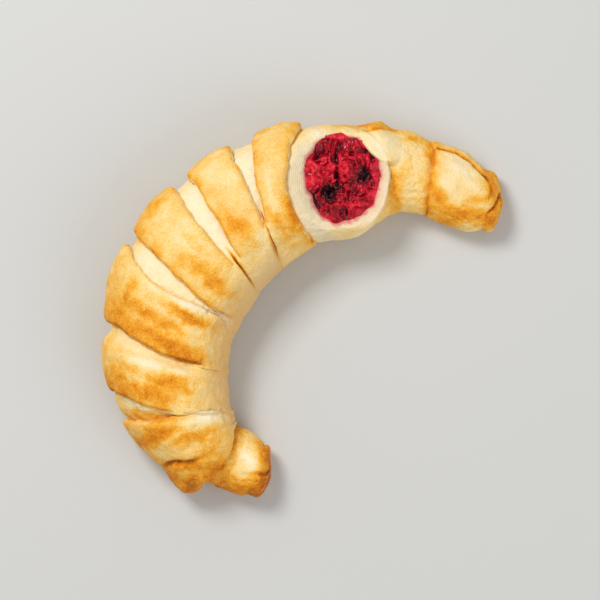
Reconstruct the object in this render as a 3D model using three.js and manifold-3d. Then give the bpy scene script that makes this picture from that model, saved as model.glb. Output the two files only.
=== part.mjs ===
// Crescent roll with a cherry filling: one baked pastry, wrapped in overlapping bands of dough,
// opened near one end by a shallow slanting slice that bares the filling in its pocket.
// Millimetres, +Z up. The roll lies on its flat underside at z = 0, and the origin is the centre
// of its bounding box on that plane.

import * as THREE from "three";
import { mergeVertices } from "three/addons/utils/BufferGeometryUtils.js";
import Module from "manifold-3d";

// ---------------------------------------------------------------- driving dimensions

// Cross-sections along the roll, from the tail to the tip. Each one stands upright on the chord
// between a point on the outside of the crescent and a point on its inside. `bow` is how far the
// middle of the section leans towards the tip.
const SECTIONS = {
  tailPole: { outer: [-13.6, -68.0], inner: [-13.6, -66.8], height: 9, bow: 0 },
  tailEnd: { outer: [-15.8, -72.8], inner: [-13.4, -61.2], height: 15, bow: 0 },
  tailBelly: { outer: [-22.8, -75.8], inner: [-16.2, -55.8], height: 21, bow: 0 },
  tailNeck: { outer: [-31.6, -73.6], inner: [-21.6, -51.2], height: 22.5, bow: 0 },
  sleeveMouth: { outer: [-42.8, -71.2], inner: [-28.0, -48.0], height: 24, bow: 0 },
  sleeveCrease: { outer: [-54.4, -61.8], inner: [-28.4, -46.4], height: 29, bow: 1 },
  band2End: { outer: [-68.8, -45.8], inner: [-29.2, -43.2], height: 32, bow: 2 },
  band3Start: { outer: [-76.0, -33.4], inner: [-30.4, -38.2], height: 34, bow: -1.5 },
  band3End: { outer: [-78.0, -11.4], inner: [-31.4, -27.0], height: 35, bow: -2 },
  band4Start: { outer: [-77.2, -5.0], inner: [-31.2, -20.2], height: 35.5, bow: -2 },
  band4End: { outer: [-69.6, 24.6], inner: [-28.4, -9.0], height: 36, bow: -1.5 },
  band5Start: { outer: [-66.4, 27.4], inner: [-26.4, -5.8], height: 36, bow: -1.5 },
  band5End: { outer: [-51.6, 47.4], inner: [-19.6, 5.8], height: 36, bow: -0.5 },
  band6Start: { outer: [-46.0, 51.8], inner: [-18.0, 8.2], height: 36, bow: -1 },
  band6End: { outer: [-29.6, 62.6], inner: [-9.2, 16.0], height: 36, bow: -1 },
  band7Start: { outer: [-20.4, 67.4], inner: [-7.6, 16.8], height: 36, bow: -2 },
  band7End: { outer: [-1.2, 72.6], inner: [4.4, 26.0], height: 35.5, bow: -5 },
  cupEnd: { outer: [16.0, 73.0], inner: [15.2, 28.0], height: 29, bow: 17 },
  band9Start: { outer: [18.4, 73.0], inner: [17.2, 28.6], height: 23, bow: 16 },
  band9End: { outer: [52.6, 65.8], inner: [48.6, 37.4], height: 22, bow: 0 },
  band10Start: { outer: [54.4, 65.2], inner: [50.4, 37.0], height: 21.5, bow: 0 },
  band10End: { outer: [72.4, 55.4], inner: [71.0, 32.2], height: 19, bow: 0 },
  tipEnd: { outer: [78.4, 51.0], inner: [77.4, 33.0], height: 16, bow: 0 },
  tipPole: { outer: [80.4, 42.6], inner: [80.4, 41.4], height: 10, bow: 0 },
};

// Raised bands of dough and how far each one stands above the layer under it.
const BANDS = [
  { from: "sleeveMouth", to: "sleeveCrease", lift: 3.6 },
  { from: "sleeveCrease", to: "band2End", lift: 2.6 },
  { from: "band3Start", to: "band3End", lift: 2.8 },
  { from: "band4Start", to: "band4End", lift: 3.8 },
  { from: "band5Start", to: "band5End", lift: 4.2 },
  { from: "band6Start", to: "band6End", lift: 3.8 },
  { from: "band7Start", to: "band7End", lift: 3.6 },
  { from: "band7End", to: "cupEnd", lift: 1.0 },
  { from: "band9Start", to: "band9End", lift: 0.8 },
  { from: "band10Start", to: "band10End", lift: 1.2 },
];
const BAND_EDGE_WIDTH = 0.9;
const INNER_LIFT_SHARE = 0.3;

// The upright section: its widest point, how hard its underside is pressed flat, and how square
// it is (2 is an ellipse). The opened stretch stands squarer, like the wall of a cup.
const WAIST_SHARE = 0.42;
const UNDERSIDE_PRESS = 1.25;
const ROLL_SQUARENESS = 2.15;
const CUP_SQUARENESS = 2.9;
const SECTION_POINTS = 36;
const ROW_PITCH = 7;

// The slice that opens the roll, and the pocket of filling under it.
const SLICE_CENTRE = [15.0, 50.4, 29.4];
const SLICE_RADII = [20.8, 24.6];
const SLICE_TILT = THREE.MathUtils.degToRad(10);
const SLICE_REACH = 24;
const POCKET_CENTRE = [15.4, 52.2];
const POCKET_RADII = [15.0, 17.8];
const POCKET_DEPTH = 9;
const FILLING_GAP = 0.3;
const FILLING_CROWN = 1.6;

const CRUST_COLOUR = 0xe3b063;
const CHERRY_COLOUR = 0x8f0f26;

// ---------------------------------------------------------------- the roll's sections

const wasm = await Module();
wasm.setup();

const COORDINATE_COUNT = 4;
const sections = Object.values(SECTIONS);
const sectionNames = Object.keys(SECTIONS);

/** The middle of a section's chord. */
function chordMiddle({ outer, inner }) {
  return new THREE.Vector2((outer[0] + inner[0]) / 2, (outer[1] + inner[1]) / 2);
}

/** Distance along the roll of every section, measured through the chord middles. */
function measureAlong() {
  const along = [0];
  for (let i = 1; i < sections.length; i += 1) {
    const step = chordMiddle(sections[i]).distanceTo(chordMiddle(sections[i - 1]));
    along.push(along[i - 1] + step);
  }
  return along;
}

const sectionAlong = measureAlong();
const alongOf = (name) => sectionAlong[sectionNames.indexOf(name)];

/** All the numbers of a section as one list, so that they are blended together. */
function sectionNumbers({ outer, inner, height, bow }) {
  return [...outer, ...inner, height, bow];
}

/** A slope that never overshoots where a short steep step meets a long gentle stretch. */
function gentleSlope(slopeBefore, slopeAfter) {
  if (slopeBefore * slopeAfter <= 0) {
    return 0;
  }
  return (2 * slopeBefore * slopeAfter) / (slopeBefore + slopeAfter);
}

/** Slope of each number at section i: gentle at the ends of steps, smooth elsewhere. */
function slopesAt(i) {
  const here = sectionNumbers(sections[i]);
  const before = sectionNumbers(sections[Math.max(i - 1, 0)]);
  const after = sectionNumbers(sections[Math.min(i + 1, sections.length - 1)]);
  const gapBefore = i > 0 ? sectionAlong[i] - sectionAlong[i - 1] : 0;
  const gapAfter = i < sections.length - 1 ? sectionAlong[i + 1] - sectionAlong[i] : 0;
  return here.map((value, k) => {
    const slopeBefore = gapBefore > 0 ? (value - before[k]) / gapBefore : 0;
    const slopeAfter = gapAfter > 0 ? (after[k] - value) / gapAfter : 0;
    if (k >= COORDINATE_COUNT) {
      return gentleSlope(slopeBefore, slopeAfter);
    }
    return (slopeBefore * gapAfter + slopeAfter * gapBefore) / (gapBefore + gapAfter);
  });
}

/** The roll's section at a distance along it, as a smooth curve through the named sections. */
function sectionAt(distance) {
  const last = sections.length - 2;
  const found = sectionAlong.findIndex((value) => value > distance) - 1;
  const i = found < 0 ? last : found;
  const span = sectionAlong[i + 1] - sectionAlong[i];
  const t = (distance - sectionAlong[i]) / span;
  const start = sectionNumbers(sections[i]);
  const end = sectionNumbers(sections[i + 1]);
  const startSlope = slopesAt(i);
  const endSlope = slopesAt(i + 1);
  const value = start.map((from, k) => {
    const rise = (1 - t) ** 2 * t * span * startSlope[k] - t ** 2 * (1 - t) * span * endSlope[k];
    return (1 + 2 * t) * (1 - t) ** 2 * from + t ** 2 * (3 - 2 * t) * end[k] + rise;
  });
  return {
    outer: new THREE.Vector2(value[0], value[1]),
    inner: new THREE.Vector2(value[2], value[3]),
    height: value[4],
    bow: value[5],
  };
}

/** How square the section is: squarest in the middle of the opened stretch. */
function squarenessAt(distance) {
  const rise = THREE.MathUtils.smoothstep(distance, alongOf("band7Start"), alongOf("band7End"));
  const fall = THREE.MathUtils.smoothstep(distance, alongOf("cupEnd"), alongOf("band9End"));
  return THREE.MathUtils.lerp(ROLL_SQUARENESS, CUP_SQUARENESS, rise * (1 - fall));
}

const roundedPower = (value, power) => Math.sign(value) * Math.abs(value) ** power;

/** One closed row of points round the roll, `lift` above the roll's inner layer. */
function rowAt(distance, lift) {
  const { outer, inner, height, bow } = sectionAt(distance);
  const middle = outer.clone().add(inner).multiplyScalar(0.5);
  const across = inner.clone().sub(outer);
  const halfWidth = across.length() / 2;
  across.normalize();
  const towardsTip = new THREE.Vector2(-across.y, across.x);
  const waist = WAIST_SHARE * height;
  const power = 2 / squarenessAt(distance);
  const row = [];
  for (let k = 0; k < SECTION_POINTS; k += 1) {
    const angle = (2 * Math.PI * k) / SECTION_POINTS;
    const side = -roundedPower(Math.cos(angle), power);
    const rise = roundedPower(Math.sin(angle), power);
    const share = 1 - (1 - INNER_LIFT_SHARE) * THREE.MathUtils.smoothstep(side, 0.2, 1);
    const sideways = side * (halfWidth + lift * share);
    const forwards = bow * (1 - side ** 2);
    const upperZ = waist + rise * (height - waist + lift * share);
    const lowerZ = Math.max(0, waist * (1 + UNDERSIDE_PRESS * rise));
    row.push(new THREE.Vector3(
      middle.x + across.x * sideways + towardsTip.x * forwards,
      middle.y + across.y * sideways + towardsTip.y * forwards,
      rise >= 0 ? upperZ : lowerZ,
    ));
  }
  return row;
}

/** The rows of one plain stretch, with no row at its two ends. */
function plainRows(start, end) {
  const count = Math.max(1, Math.round((end - start) / ROW_PITCH));
  const pitch = (end - start) / (count + 1);
  return Array.from({ length: count }, (_, i) => rowAt(start + pitch * (i + 1), 0));
}

/** The rows of one raised band: a step up, a puffed middle and a step down. */
function bandRows(start, end, lift) {
  const low = start + BAND_EDGE_WIDTH;
  const high = end - BAND_EDGE_WIDTH;
  const count = Math.max(2, Math.round((high - low) / ROW_PITCH));
  const rows = [rowAt(start, 0)];
  for (let i = 0; i <= count; i += 1) {
    const t = i / count;
    rows.push(rowAt(low + (high - low) * t, lift * (0.82 + 0.18 * Math.sin(Math.PI * t))));
  }
  rows.push(rowAt(end, 0));
  return rows;
}

/** Every row of the roll from the tail to the tip. */
function rollRows() {
  const rows = [rowAt(alongOf("tailEnd") * 0.5, 0), rowAt(alongOf("tailEnd"), 0)];
  let reached = alongOf("tailEnd");
  for (const { from, to, lift } of BANDS) {
    const start = alongOf(from);
    if (start > reached + BAND_EDGE_WIDTH) {
      rows.push(...plainRows(reached, start));
    }
    const band = bandRows(start, alongOf(to), lift);
    rows.push(...(start > reached ? band : band.slice(1)));
    reached = alongOf(to);
  }
  const tip = alongOf("tipPole");
  rows.push(rowAt(alongOf("tipEnd"), 0), rowAt((alongOf("tipEnd") + tip) / 2, 0));
  return rows;
}

/** A closed body through rows of points, with a point at each end. */
function closedBody(rows, startPoint, endPoint) {
  const round = rows[0].length;
  const points = [startPoint, ...rows.flat(), endPoint];
  const triangles = [];
  const at = (row, k) => 1 + row * round + (k % round);
  for (let k = 0; k < round; k += 1) {
    triangles.push(0, at(0, k + 1), at(0, k));
    for (let row = 0; row < rows.length - 1; row += 1) {
      triangles.push(at(row, k), at(row, k + 1), at(row + 1, k));
      triangles.push(at(row, k + 1), at(row + 1, k + 1), at(row + 1, k));
    }
    triangles.push(points.length - 1, at(rows.length - 1, k), at(rows.length - 1, k + 1));
  }
  const geometry = new THREE.BufferGeometry().setFromPoints(points);
  geometry.setIndex(triangles);
  return geometry;
}

/** The point that closes the roll at one of its ends. */
function polePoint(name) {
  const section = SECTIONS[name];
  const middle = chordMiddle(section);
  return new THREE.Vector3(middle.x, middle.y, WAIST_SHARE * section.height);
}

// ---------------------------------------------------------------- booleans

/** A geometry's solid, with its shared points merged. */
function toSolid(geometry) {
  const bare = geometry.clone();
  bare.deleteAttribute("normal");
  bare.deleteAttribute("uv");
  const merged = mergeVertices(bare);
  return new wasm.Manifold(new wasm.Mesh({
    numProp: 3,
    vertProperties: new Float32Array(merged.attributes.position.array),
    triVerts: new Uint32Array(merged.index.array),
  }));
}

/** A solid's geometry, ready for a mesh. */
function toGeometry(solid) {
  const { numProp, vertProperties, triVerts } = solid.getMesh();
  const positions = new Float32Array((vertProperties.length / numProp) * 3);
  for (let i = 0; i < positions.length / 3; i += 1) {
    positions.set(vertProperties.subarray(i * numProp, i * numProp + 3), i * 3);
  }
  const geometry = new THREE.BufferGeometry();
  geometry.setAttribute("position", new THREE.BufferAttribute(positions, 3));
  geometry.setIndex(new THREE.BufferAttribute(new Uint32Array(triVerts), 1));
  geometry.computeVertexNormals();
  return geometry;
}

// ---------------------------------------------------------------- the slice and the pocket

/** Height of the slice's plane over a point. */
function sliceHeight(x) {
  return SLICE_CENTRE[2] - (x - SLICE_CENTRE[0]) * Math.tan(SLICE_TILT);
}

/** The wedge of air above the slice, as wide as the opening. */
function sliceAir() {
  const outline = new THREE.Shape();
  outline.absellipse(0, 0, SLICE_RADII[0], SLICE_RADII[1], 0, 2 * Math.PI);
  const air = new THREE.ExtrudeGeometry(outline, { depth: SLICE_REACH, bevelEnabled: false, curveSegments: 40 });
  air.rotateY(SLICE_TILT);
  air.translate(...SLICE_CENTRE);
  return air;
}

/** A bowl with an oval rim, domed on top, centred on the pocket and tilted with the slice. */
function pocketBowl(clearance, crown) {
  const profile = [];
  const steps = 7;
  for (let i = 0; i <= steps; i += 1) {
    const turn = (Math.PI / 2) * (i / steps);
    profile.push(new THREE.Vector2(Math.sin(turn), -Math.cos(turn) * (POCKET_DEPTH - clearance)));
  }
  for (let i = 1; i <= steps; i += 1) {
    const turn = (Math.PI / 2) * (i / steps);
    profile.push(new THREE.Vector2(Math.cos(turn), Math.sin(turn) * crown));
  }
  profile[0].x = 0;
  profile[profile.length - 1].x = 0;
  const bowl = new THREE.LatheGeometry(profile, 36);
  bowl.rotateX(Math.PI / 2);
  bowl.scale(POCKET_RADII[0] - clearance, POCKET_RADII[1] - clearance, 1);
  bowl.rotateY(SLICE_TILT);
  bowl.translate(POCKET_CENTRE[0], POCKET_CENTRE[1], sliceHeight(POCKET_CENTRE[0]));
  return bowl;
}

// ---------------------------------------------------------------- the two pieces

const wholeRoll = closedBody(rollRows(), polePoint("tailPole"), polePoint("tipPole"));
const opened = toSolid(wholeRoll).subtract(toSolid(sliceAir())).subtract(toSolid(pocketBowl(0, 3)));
const pastryGeometry = toGeometry(opened);
const fillingGeometry = pocketBowl(FILLING_GAP, FILLING_CROWN);

pastryGeometry.computeBoundingBox();
const boxCentre = pastryGeometry.boundingBox.getCenter(new THREE.Vector3());
for (const geometry of [pastryGeometry, fillingGeometry]) {
  geometry.translate(-boxCentre.x, -boxCentre.y, 0);
}

const crust = new THREE.MeshStandardMaterial({ color: CRUST_COLOUR, roughness: 0.6, metalness: 0 });
const cherry = new THREE.MeshStandardMaterial({ color: CHERRY_COLOUR, roughness: 0.2, metalness: 0 });

const pastry = new THREE.Mesh(pastryGeometry, crust);
pastry.name = "pastry";

const cherryFilling = new THREE.Mesh(fillingGeometry, cherry);
cherryFilling.name = "cherry_filling";

const roll = new THREE.Group();
roll.add(pastry, cherryFilling);

export default roll;
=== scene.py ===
"""Crescent roll with a cherry filling, finished for show.

The roll is one baked piece of wrapped dough, lying on its flat underside. Its skin is a grid of
rows and columns: the rows follow the edges of the dough bands, so that every band ends in a real
lip with a crevice under it. A slanting slice opens it near one end, over a pocket of cherries.
The sizes of the roll and its filling are in millimetres, and those of the finishes, the scattered
shreds and the studio in metres. Meshes are made in metres, in the frame's axes.
"""

import logging
import math
from dataclasses import dataclass, field
from enum import Enum
from itertools import product

import bpy
import numpy as np
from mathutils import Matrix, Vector


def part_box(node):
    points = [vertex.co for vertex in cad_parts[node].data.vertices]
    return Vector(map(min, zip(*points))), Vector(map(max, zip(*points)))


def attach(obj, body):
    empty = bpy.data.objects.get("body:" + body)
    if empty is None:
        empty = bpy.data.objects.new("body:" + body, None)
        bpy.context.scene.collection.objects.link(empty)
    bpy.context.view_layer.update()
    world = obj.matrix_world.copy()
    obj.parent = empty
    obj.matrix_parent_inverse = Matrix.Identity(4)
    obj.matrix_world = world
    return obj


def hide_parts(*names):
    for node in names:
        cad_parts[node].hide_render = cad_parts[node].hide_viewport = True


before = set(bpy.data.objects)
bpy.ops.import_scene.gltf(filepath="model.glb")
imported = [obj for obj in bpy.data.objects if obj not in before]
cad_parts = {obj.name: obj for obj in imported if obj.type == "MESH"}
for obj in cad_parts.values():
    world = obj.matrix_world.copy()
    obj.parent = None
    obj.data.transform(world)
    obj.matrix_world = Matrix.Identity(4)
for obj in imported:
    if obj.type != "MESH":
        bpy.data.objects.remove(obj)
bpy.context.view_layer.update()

logging.basicConfig(level=logging.INFO, format="%(message)s")
log = logging.getLogger("crescent_roll")

ROOT_BODY = "root"

Array = np.ndarray
Colour = tuple[float, float, float, float]
ColourStops = tuple[tuple[float, tuple[float, float, float]], ...]


# ------------------------------------------------------------------ shared maths


def smoothstep(value: Array, low: float, high: float) -> Array:
    """Ramp from 0 at `low` to 1 at `high` with soft ends; `low` may be the larger."""
    t = np.clip((value - low) / (high - low), 0.0, 1.0)
    return t * t * (3.0 - 2.0 * t)


def rounded_power(value: Array, power: Array) -> Array:
    """Raise to a power and keep the sign."""
    return np.sign(value) * np.abs(value) ** power


def smooth_min(first: Array, second: Array, radius: float) -> Array:
    """Lower of two heights, with the corner between them rounded off."""
    near = np.clip(0.5 + 0.5 * (second - first) / radius, 0.0, 1.0)
    return second + (first - second) * near - radius * near * (1.0 - near)


class SmoothNoise:
    """Seeded gradient noise over points in space, between about -1 and 1."""

    LATTICE = 32

    def __init__(self, seed: int) -> None:
        """Draw the lattice of directions."""
        vectors = np.random.default_rng(seed).normal(size=(self.LATTICE,) * 3 + (3,))
        self.slopes = vectors / np.linalg.norm(vectors, axis=-1, keepdims=True)

    def sample(self, points: Array, wavelength: float | tuple[float, float, float]) -> Array:
        """One octave of noise.

        Args:
            points: array whose last axis is x, y, z.
            wavelength: size of the lumps, one for all axes or one for each.

        Returns:
            One value for each point.
        """
        scaled = points / np.asarray(wavelength, float)
        cell = np.floor(scaled).astype(int)
        inside = scaled - cell
        blend = inside**3 * (inside * (inside * 6.0 - 15.0) + 10.0)
        total = np.zeros(points.shape[:-1])
        for corner in product((0, 1), repeat=3):
            step = np.array(corner)
            index = (cell + step) % self.LATTICE
            slope = self.slopes[index[..., 0], index[..., 1], index[..., 2]]
            weight = np.prod(np.where(step == 1, blend, 1.0 - blend), axis=-1)
            total += weight * np.sum(slope * (inside - step), axis=-1)
        return total * 1.6

    def fractal(self, points: Array, wavelength: float, octaves: int = 3) -> Array:
        """Several octaves, each half as large and half as strong as the last.

        Args:
            points: array whose last axis is x, y, z.
            wavelength: size of the largest lumps.
            octaves: how many sizes are added.

        Returns:
            One value for each point.
        """
        total = np.zeros(points.shape[:-1])
        for octave in range(octaves):
            shifted = points + 17.3 * octave
            total += self.sample(shifted, wavelength / 2**octave) / 2**octave
        return total


def grid_normals(points: Array) -> Array:
    """Outward normals of a grid of points that closes round its second axis.

    Args:
        points: rows by columns by 3.

    Returns:
        Unit normals of the same shape.
    """
    along = np.gradient(points, axis=0)
    around = np.roll(points, -1, axis=1) - np.roll(points, 1, axis=1)
    normals = np.cross(around, along)
    length = np.linalg.norm(normals, axis=-1, keepdims=True)
    return normals / np.maximum(length, 1e-9)


@dataclass(frozen=True)
class FrameFit:
    """Where the sections' own coordinates lie in the frame, so that a piece fills its box."""

    scale: Array
    offset: Array

    @classmethod
    def onto(cls, points: Array, box: tuple) -> "FrameFit":
        """The fit that lays points exactly into a box.

        Args:
            points: points in millimetres, with the last axis x, y, z.
            box: lowest and highest corner in metres.

        Returns:
            The fit.
        """
        flat = points.reshape(-1, 3)
        low, high = np.array(box[0]), np.array(box[1])
        scale = (high - low) / (flat.max(axis=0) - flat.min(axis=0))
        return cls(scale, low - scale * flat.min(axis=0))

    def place(self, points: Array) -> Array:
        """Points in the frame, in metres."""
        return points * self.scale + self.offset


def closed_grid_object(
    name: str, points: Array, poles: tuple[Array, Array], fit: FrameFit
) -> bpy.types.Object:
    """Make a closed skin from rows of points, with a pole at each end.

    Args:
        name: name of the object.
        points: rows by columns by 3, in millimetres.
        poles: the point before the first row and the one after the last.
        fit: where the points lie in the frame.

    Returns:
        The object, with its place in its mesh.
    """
    rows, columns = points.shape[:2]
    verts = np.concatenate([points.reshape(-1, 3), [poles[0], poles[1]]])
    verts = fit.place(verts)
    index = np.arange(rows * columns).reshape(rows, columns)
    beside = np.roll(index, -1, axis=1)
    quads = np.stack([index[:-1], beside[:-1], beside[1:], index[1:]], axis=-1).reshape(-1, 4)
    first = [(rows * columns, b, a) for a, b in zip(index[0], beside[0])]
    last = [(rows * columns + 1, a, b) for a, b in zip(index[-1], beside[-1])]
    mesh = bpy.data.meshes.new(name)
    mesh.from_pydata(verts.tolist(), [], quads.tolist() + first + last)
    mesh.validate()
    mesh.polygons.foreach_set("use_smooth", [True] * len(mesh.polygons))
    piece = bpy.data.objects.new(name, mesh)
    bpy.context.scene.collection.objects.link(piece)
    return piece


def write_mask(piece: bpy.types.Object, name: str, values: Array) -> None:
    """Store one number for each grid point of a piece, and the mean end row at its poles.

    Args:
        piece: the piece, made by `closed_grid_object`.
        name: name of the mask.
        values: its numbers, rows by columns.
    """
    numbers = np.concatenate([values.ravel(), [values[0].mean(), values[-1].mean()]])
    layer = piece.data.attributes.new(name, "FLOAT", "POINT")
    layer.data.foreach_set("value", numbers.astype(np.float32))


# ------------------------------------------------------------------ node helpers


class NodeSheet:
    """Short calls for building one node tree."""

    def __init__(self, tree: bpy.types.NodeTree) -> None:
        """Hold the tree that the calls add to."""
        self.tree = tree

    def add(self, kind: str, **settings: object) -> bpy.types.Node:
        """Add a node and set its plain properties.

        Args:
            kind: type of the node.
            settings: its plain properties by name.

        Returns:
            The node.
        """
        node = self.tree.nodes.new(kind)
        for key, value in settings.items():
            setattr(node, key, value)
        return node

    def feed(self, socket: bpy.types.NodeSocket, source: object) -> None:
        """Link a socket to an output, or set its value.

        Args:
            socket: input that is fed.
            source: an output socket or a plain value.
        """
        if isinstance(source, bpy.types.NodeSocket):
            self.tree.links.new(source, socket)
        else:
            socket.default_value = source

    def math(self, kind: str, first: object, second: object = 0.0) -> bpy.types.NodeSocket:
        """A math node.

        Args:
            kind: its operation.
            first: its first value.
            second: its second value.

        Returns:
            The output socket.
        """
        node = self.add("ShaderNodeMath", operation=kind)
        self.feed(node.inputs[0], first)
        self.feed(node.inputs[1], second)
        return node.outputs[0]

    def remap(
        self, source: object, low: float, high: float, to_low: float = 0.0, to_high: float = 1.0
    ) -> bpy.types.NodeSocket:
        """A clamped change of range.

        Args:
            source: value that comes in.
            low: its value at the start of the range.
            high: its value at the end of the range.
            to_low: what the start becomes.
            to_high: what the end becomes.

        Returns:
            The output socket.
        """
        node = self.add("ShaderNodeMapRange")
        for socket, value in zip(node.inputs, (source, low, high, to_low, to_high)):
            self.feed(socket, value)
        return node.outputs[0]

    def blend(
        self, amount: object, first: object, second: object, kind: str = "MIX"
    ) -> bpy.types.NodeSocket:
        """A colour mix.

        Args:
            amount: share of the second colour.
            first: colour at 0.
            second: colour at 1.
            kind: how the colours are put together.

        Returns:
            The output socket.
        """
        node = self.add("ShaderNodeMix", data_type="RGBA", blend_type=kind)
        self.feed(node.inputs[0], amount)
        self.feed(node.inputs[6], first)
        self.feed(node.inputs[7], second)
        return node.outputs[2]

    def noise(
        self, place: object, scale: object, detail: float = 2.0, rough: float = 0.5
    ) -> bpy.types.NodeSocket:
        """Noise between about 0 and 1.

        Args:
            place: coordinates that it is read at.
            scale: lumps for each metre.
            detail: how many finer sizes are added.
            rough: how strong the finer sizes are.

        Returns:
            The output socket.
        """
        node = self.add("ShaderNodeTexNoise")
        self.feed(node.inputs["Vector"], place)
        self.feed(node.inputs["Scale"], scale)
        self.feed(node.inputs["Detail"], detail)
        self.feed(node.inputs["Roughness"], rough)
        return node.outputs["Fac"]

    def mask(self, name: str) -> bpy.types.NodeSocket:
        """A number stored on the piece."""
        return self.add("ShaderNodeAttribute", attribute_name=name).outputs["Fac"]

    def ramp(self, source: object, stops: ColourStops) -> bpy.types.NodeSocket:
        """Colours along a value.

        Args:
            source: value between 0 and 1.
            stops: places and their colours, in order.

        Returns:
            The output socket.
        """
        node = self.add("ShaderNodeValToRGB")
        elements = node.color_ramp.elements
        while len(elements) < len(stops):
            elements.new(0.5)
        for element, (place, colour) in zip(elements, stops):
            element.position = place
            element.color = (*colour, 1.0)
        self.feed(node.inputs[0], source)
        return node.outputs[0]


def start_group(
    name: str, inputs: dict[str, str], outputs: dict[str, str]
) -> tuple[bpy.types.NodeTree, NodeSheet, bpy.types.Node, bpy.types.Node]:
    """Make an empty shader group.

    Args:
        name: name of the group.
        inputs: names and kinds of its inputs.
        outputs: names and kinds of its outputs.

    Returns:
        The group, its sheet, its input node and its output node.
    """
    group = bpy.data.node_groups.new(name, "ShaderNodeTree")
    for label, kind in inputs.items():
        group.interface.new_socket(label, in_out="INPUT", socket_type=kind)
    for label, kind in outputs.items():
        group.interface.new_socket(label, in_out="OUTPUT", socket_type=kind)
    sheet = NodeSheet(group)
    return group, sheet, sheet.add("NodeGroupInput"), sheet.add("NodeGroupOutput")


FLOAT = "NodeSocketFloat"
COLOUR = "NodeSocketColor"
VECTOR = "NodeSocketVector"


# Dough from raw cream over gold, orange and brown to nearly black.
BAKE_STOPS = (
    (0.00, (0.91, 0.80, 0.57)),
    (0.16, (0.90, 0.71, 0.37)),
    (0.32, (0.89, 0.59, 0.18)),
    (0.50, (0.86, 0.41, 0.035)),
    (0.66, (0.74, 0.25, 0.008)),
    (0.84, (0.42, 0.105, 0.006)),
    (1.00, (0.11, 0.03, 0.005)),
)
# Cherries from the nearly black painted shade of the hollows over maroon flesh to bright skin, brightest on
# the crests as painted light.
CHERRY_STOPS = (
    (0.00, (0.006, 0.0003, 0.001)),
    (0.20, (0.05, 0.0005, 0.004)),
    (0.42, (0.25, 0.001, 0.008)),
    (0.66, (0.52, 0.003, 0.018)),
    (1.00, (0.86, 0.035, 0.06)),
)


@dataclass
class SharedEffects:
    """Shader groups of the crust's finish, each built once."""

    bake: bpy.types.NodeTree = field(init=False)
    grain: bpy.types.NodeTree = field(init=False)

    def __post_init__(self) -> None:
        """Build the groups."""
        self.bake = self.build_bake()
        self.grain = self.build_grain()

    def build_bake(self) -> bpy.types.NodeTree:
        """Colour of dough by how far it is baked.

        Returns:
            The group.
        """
        group, sheet, source, result = start_group("Bake Colour", {"Bake": FLOAT}, {"Colour": COLOUR})
        sheet.feed(result.inputs["Colour"], sheet.ramp(source.outputs["Bake"], BAKE_STOPS))
        return group

    def build_grain(self) -> bpy.types.NodeTree:
        """Uneven patches, flecks and pores, centred on 0, and a fine height for bumps.

        Returns:
            The group.
        """
        inputs = {"Place": VECTOR, "Patch Scale": FLOAT, "Fleck Scale": FLOAT}
        outputs = {"Patches": FLOAT, "Flecks": FLOAT, "Pores": FLOAT, "Height": FLOAT}
        group, sheet, source, result = start_group("Dough Grain", inputs, outputs)
        place = source.outputs["Place"]
        patches = sheet.noise(place, source.outputs["Patch Scale"], 3.0, 0.55)
        flecks = sheet.noise(place, source.outputs["Fleck Scale"], 3.0, 0.6)
        pores = sheet.noise(place, 1500.0, 2.0, 0.6)
        sheet.feed(result.inputs["Patches"], sheet.math("SUBTRACT", patches, 0.5))
        sheet.feed(result.inputs["Flecks"], sheet.math("SUBTRACT", flecks, 0.5))
        sheet.feed(result.inputs["Pores"], sheet.math("SUBTRACT", pores, 0.5))
        height = sheet.math("ADD", sheet.math("MULTIPLY", flecks, 0.6), sheet.math("MULTIPLY", pores, 0.25))
        sheet.feed(result.inputs["Height"], height)
        return group


def start_material(name: str) -> tuple[bpy.types.Material, NodeSheet, bpy.types.Node]:
    """Make a material with a bare Principled shader.

    Args:
        name: name of the material.

    Returns:
        The material, its sheet and the shader node.
    """
    material = bpy.data.materials.new(name)
    material.use_nodes = True
    sheet = NodeSheet(material.node_tree)
    shader = material.node_tree.nodes["Principled BSDF"]
    return material, sheet, shader


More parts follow.
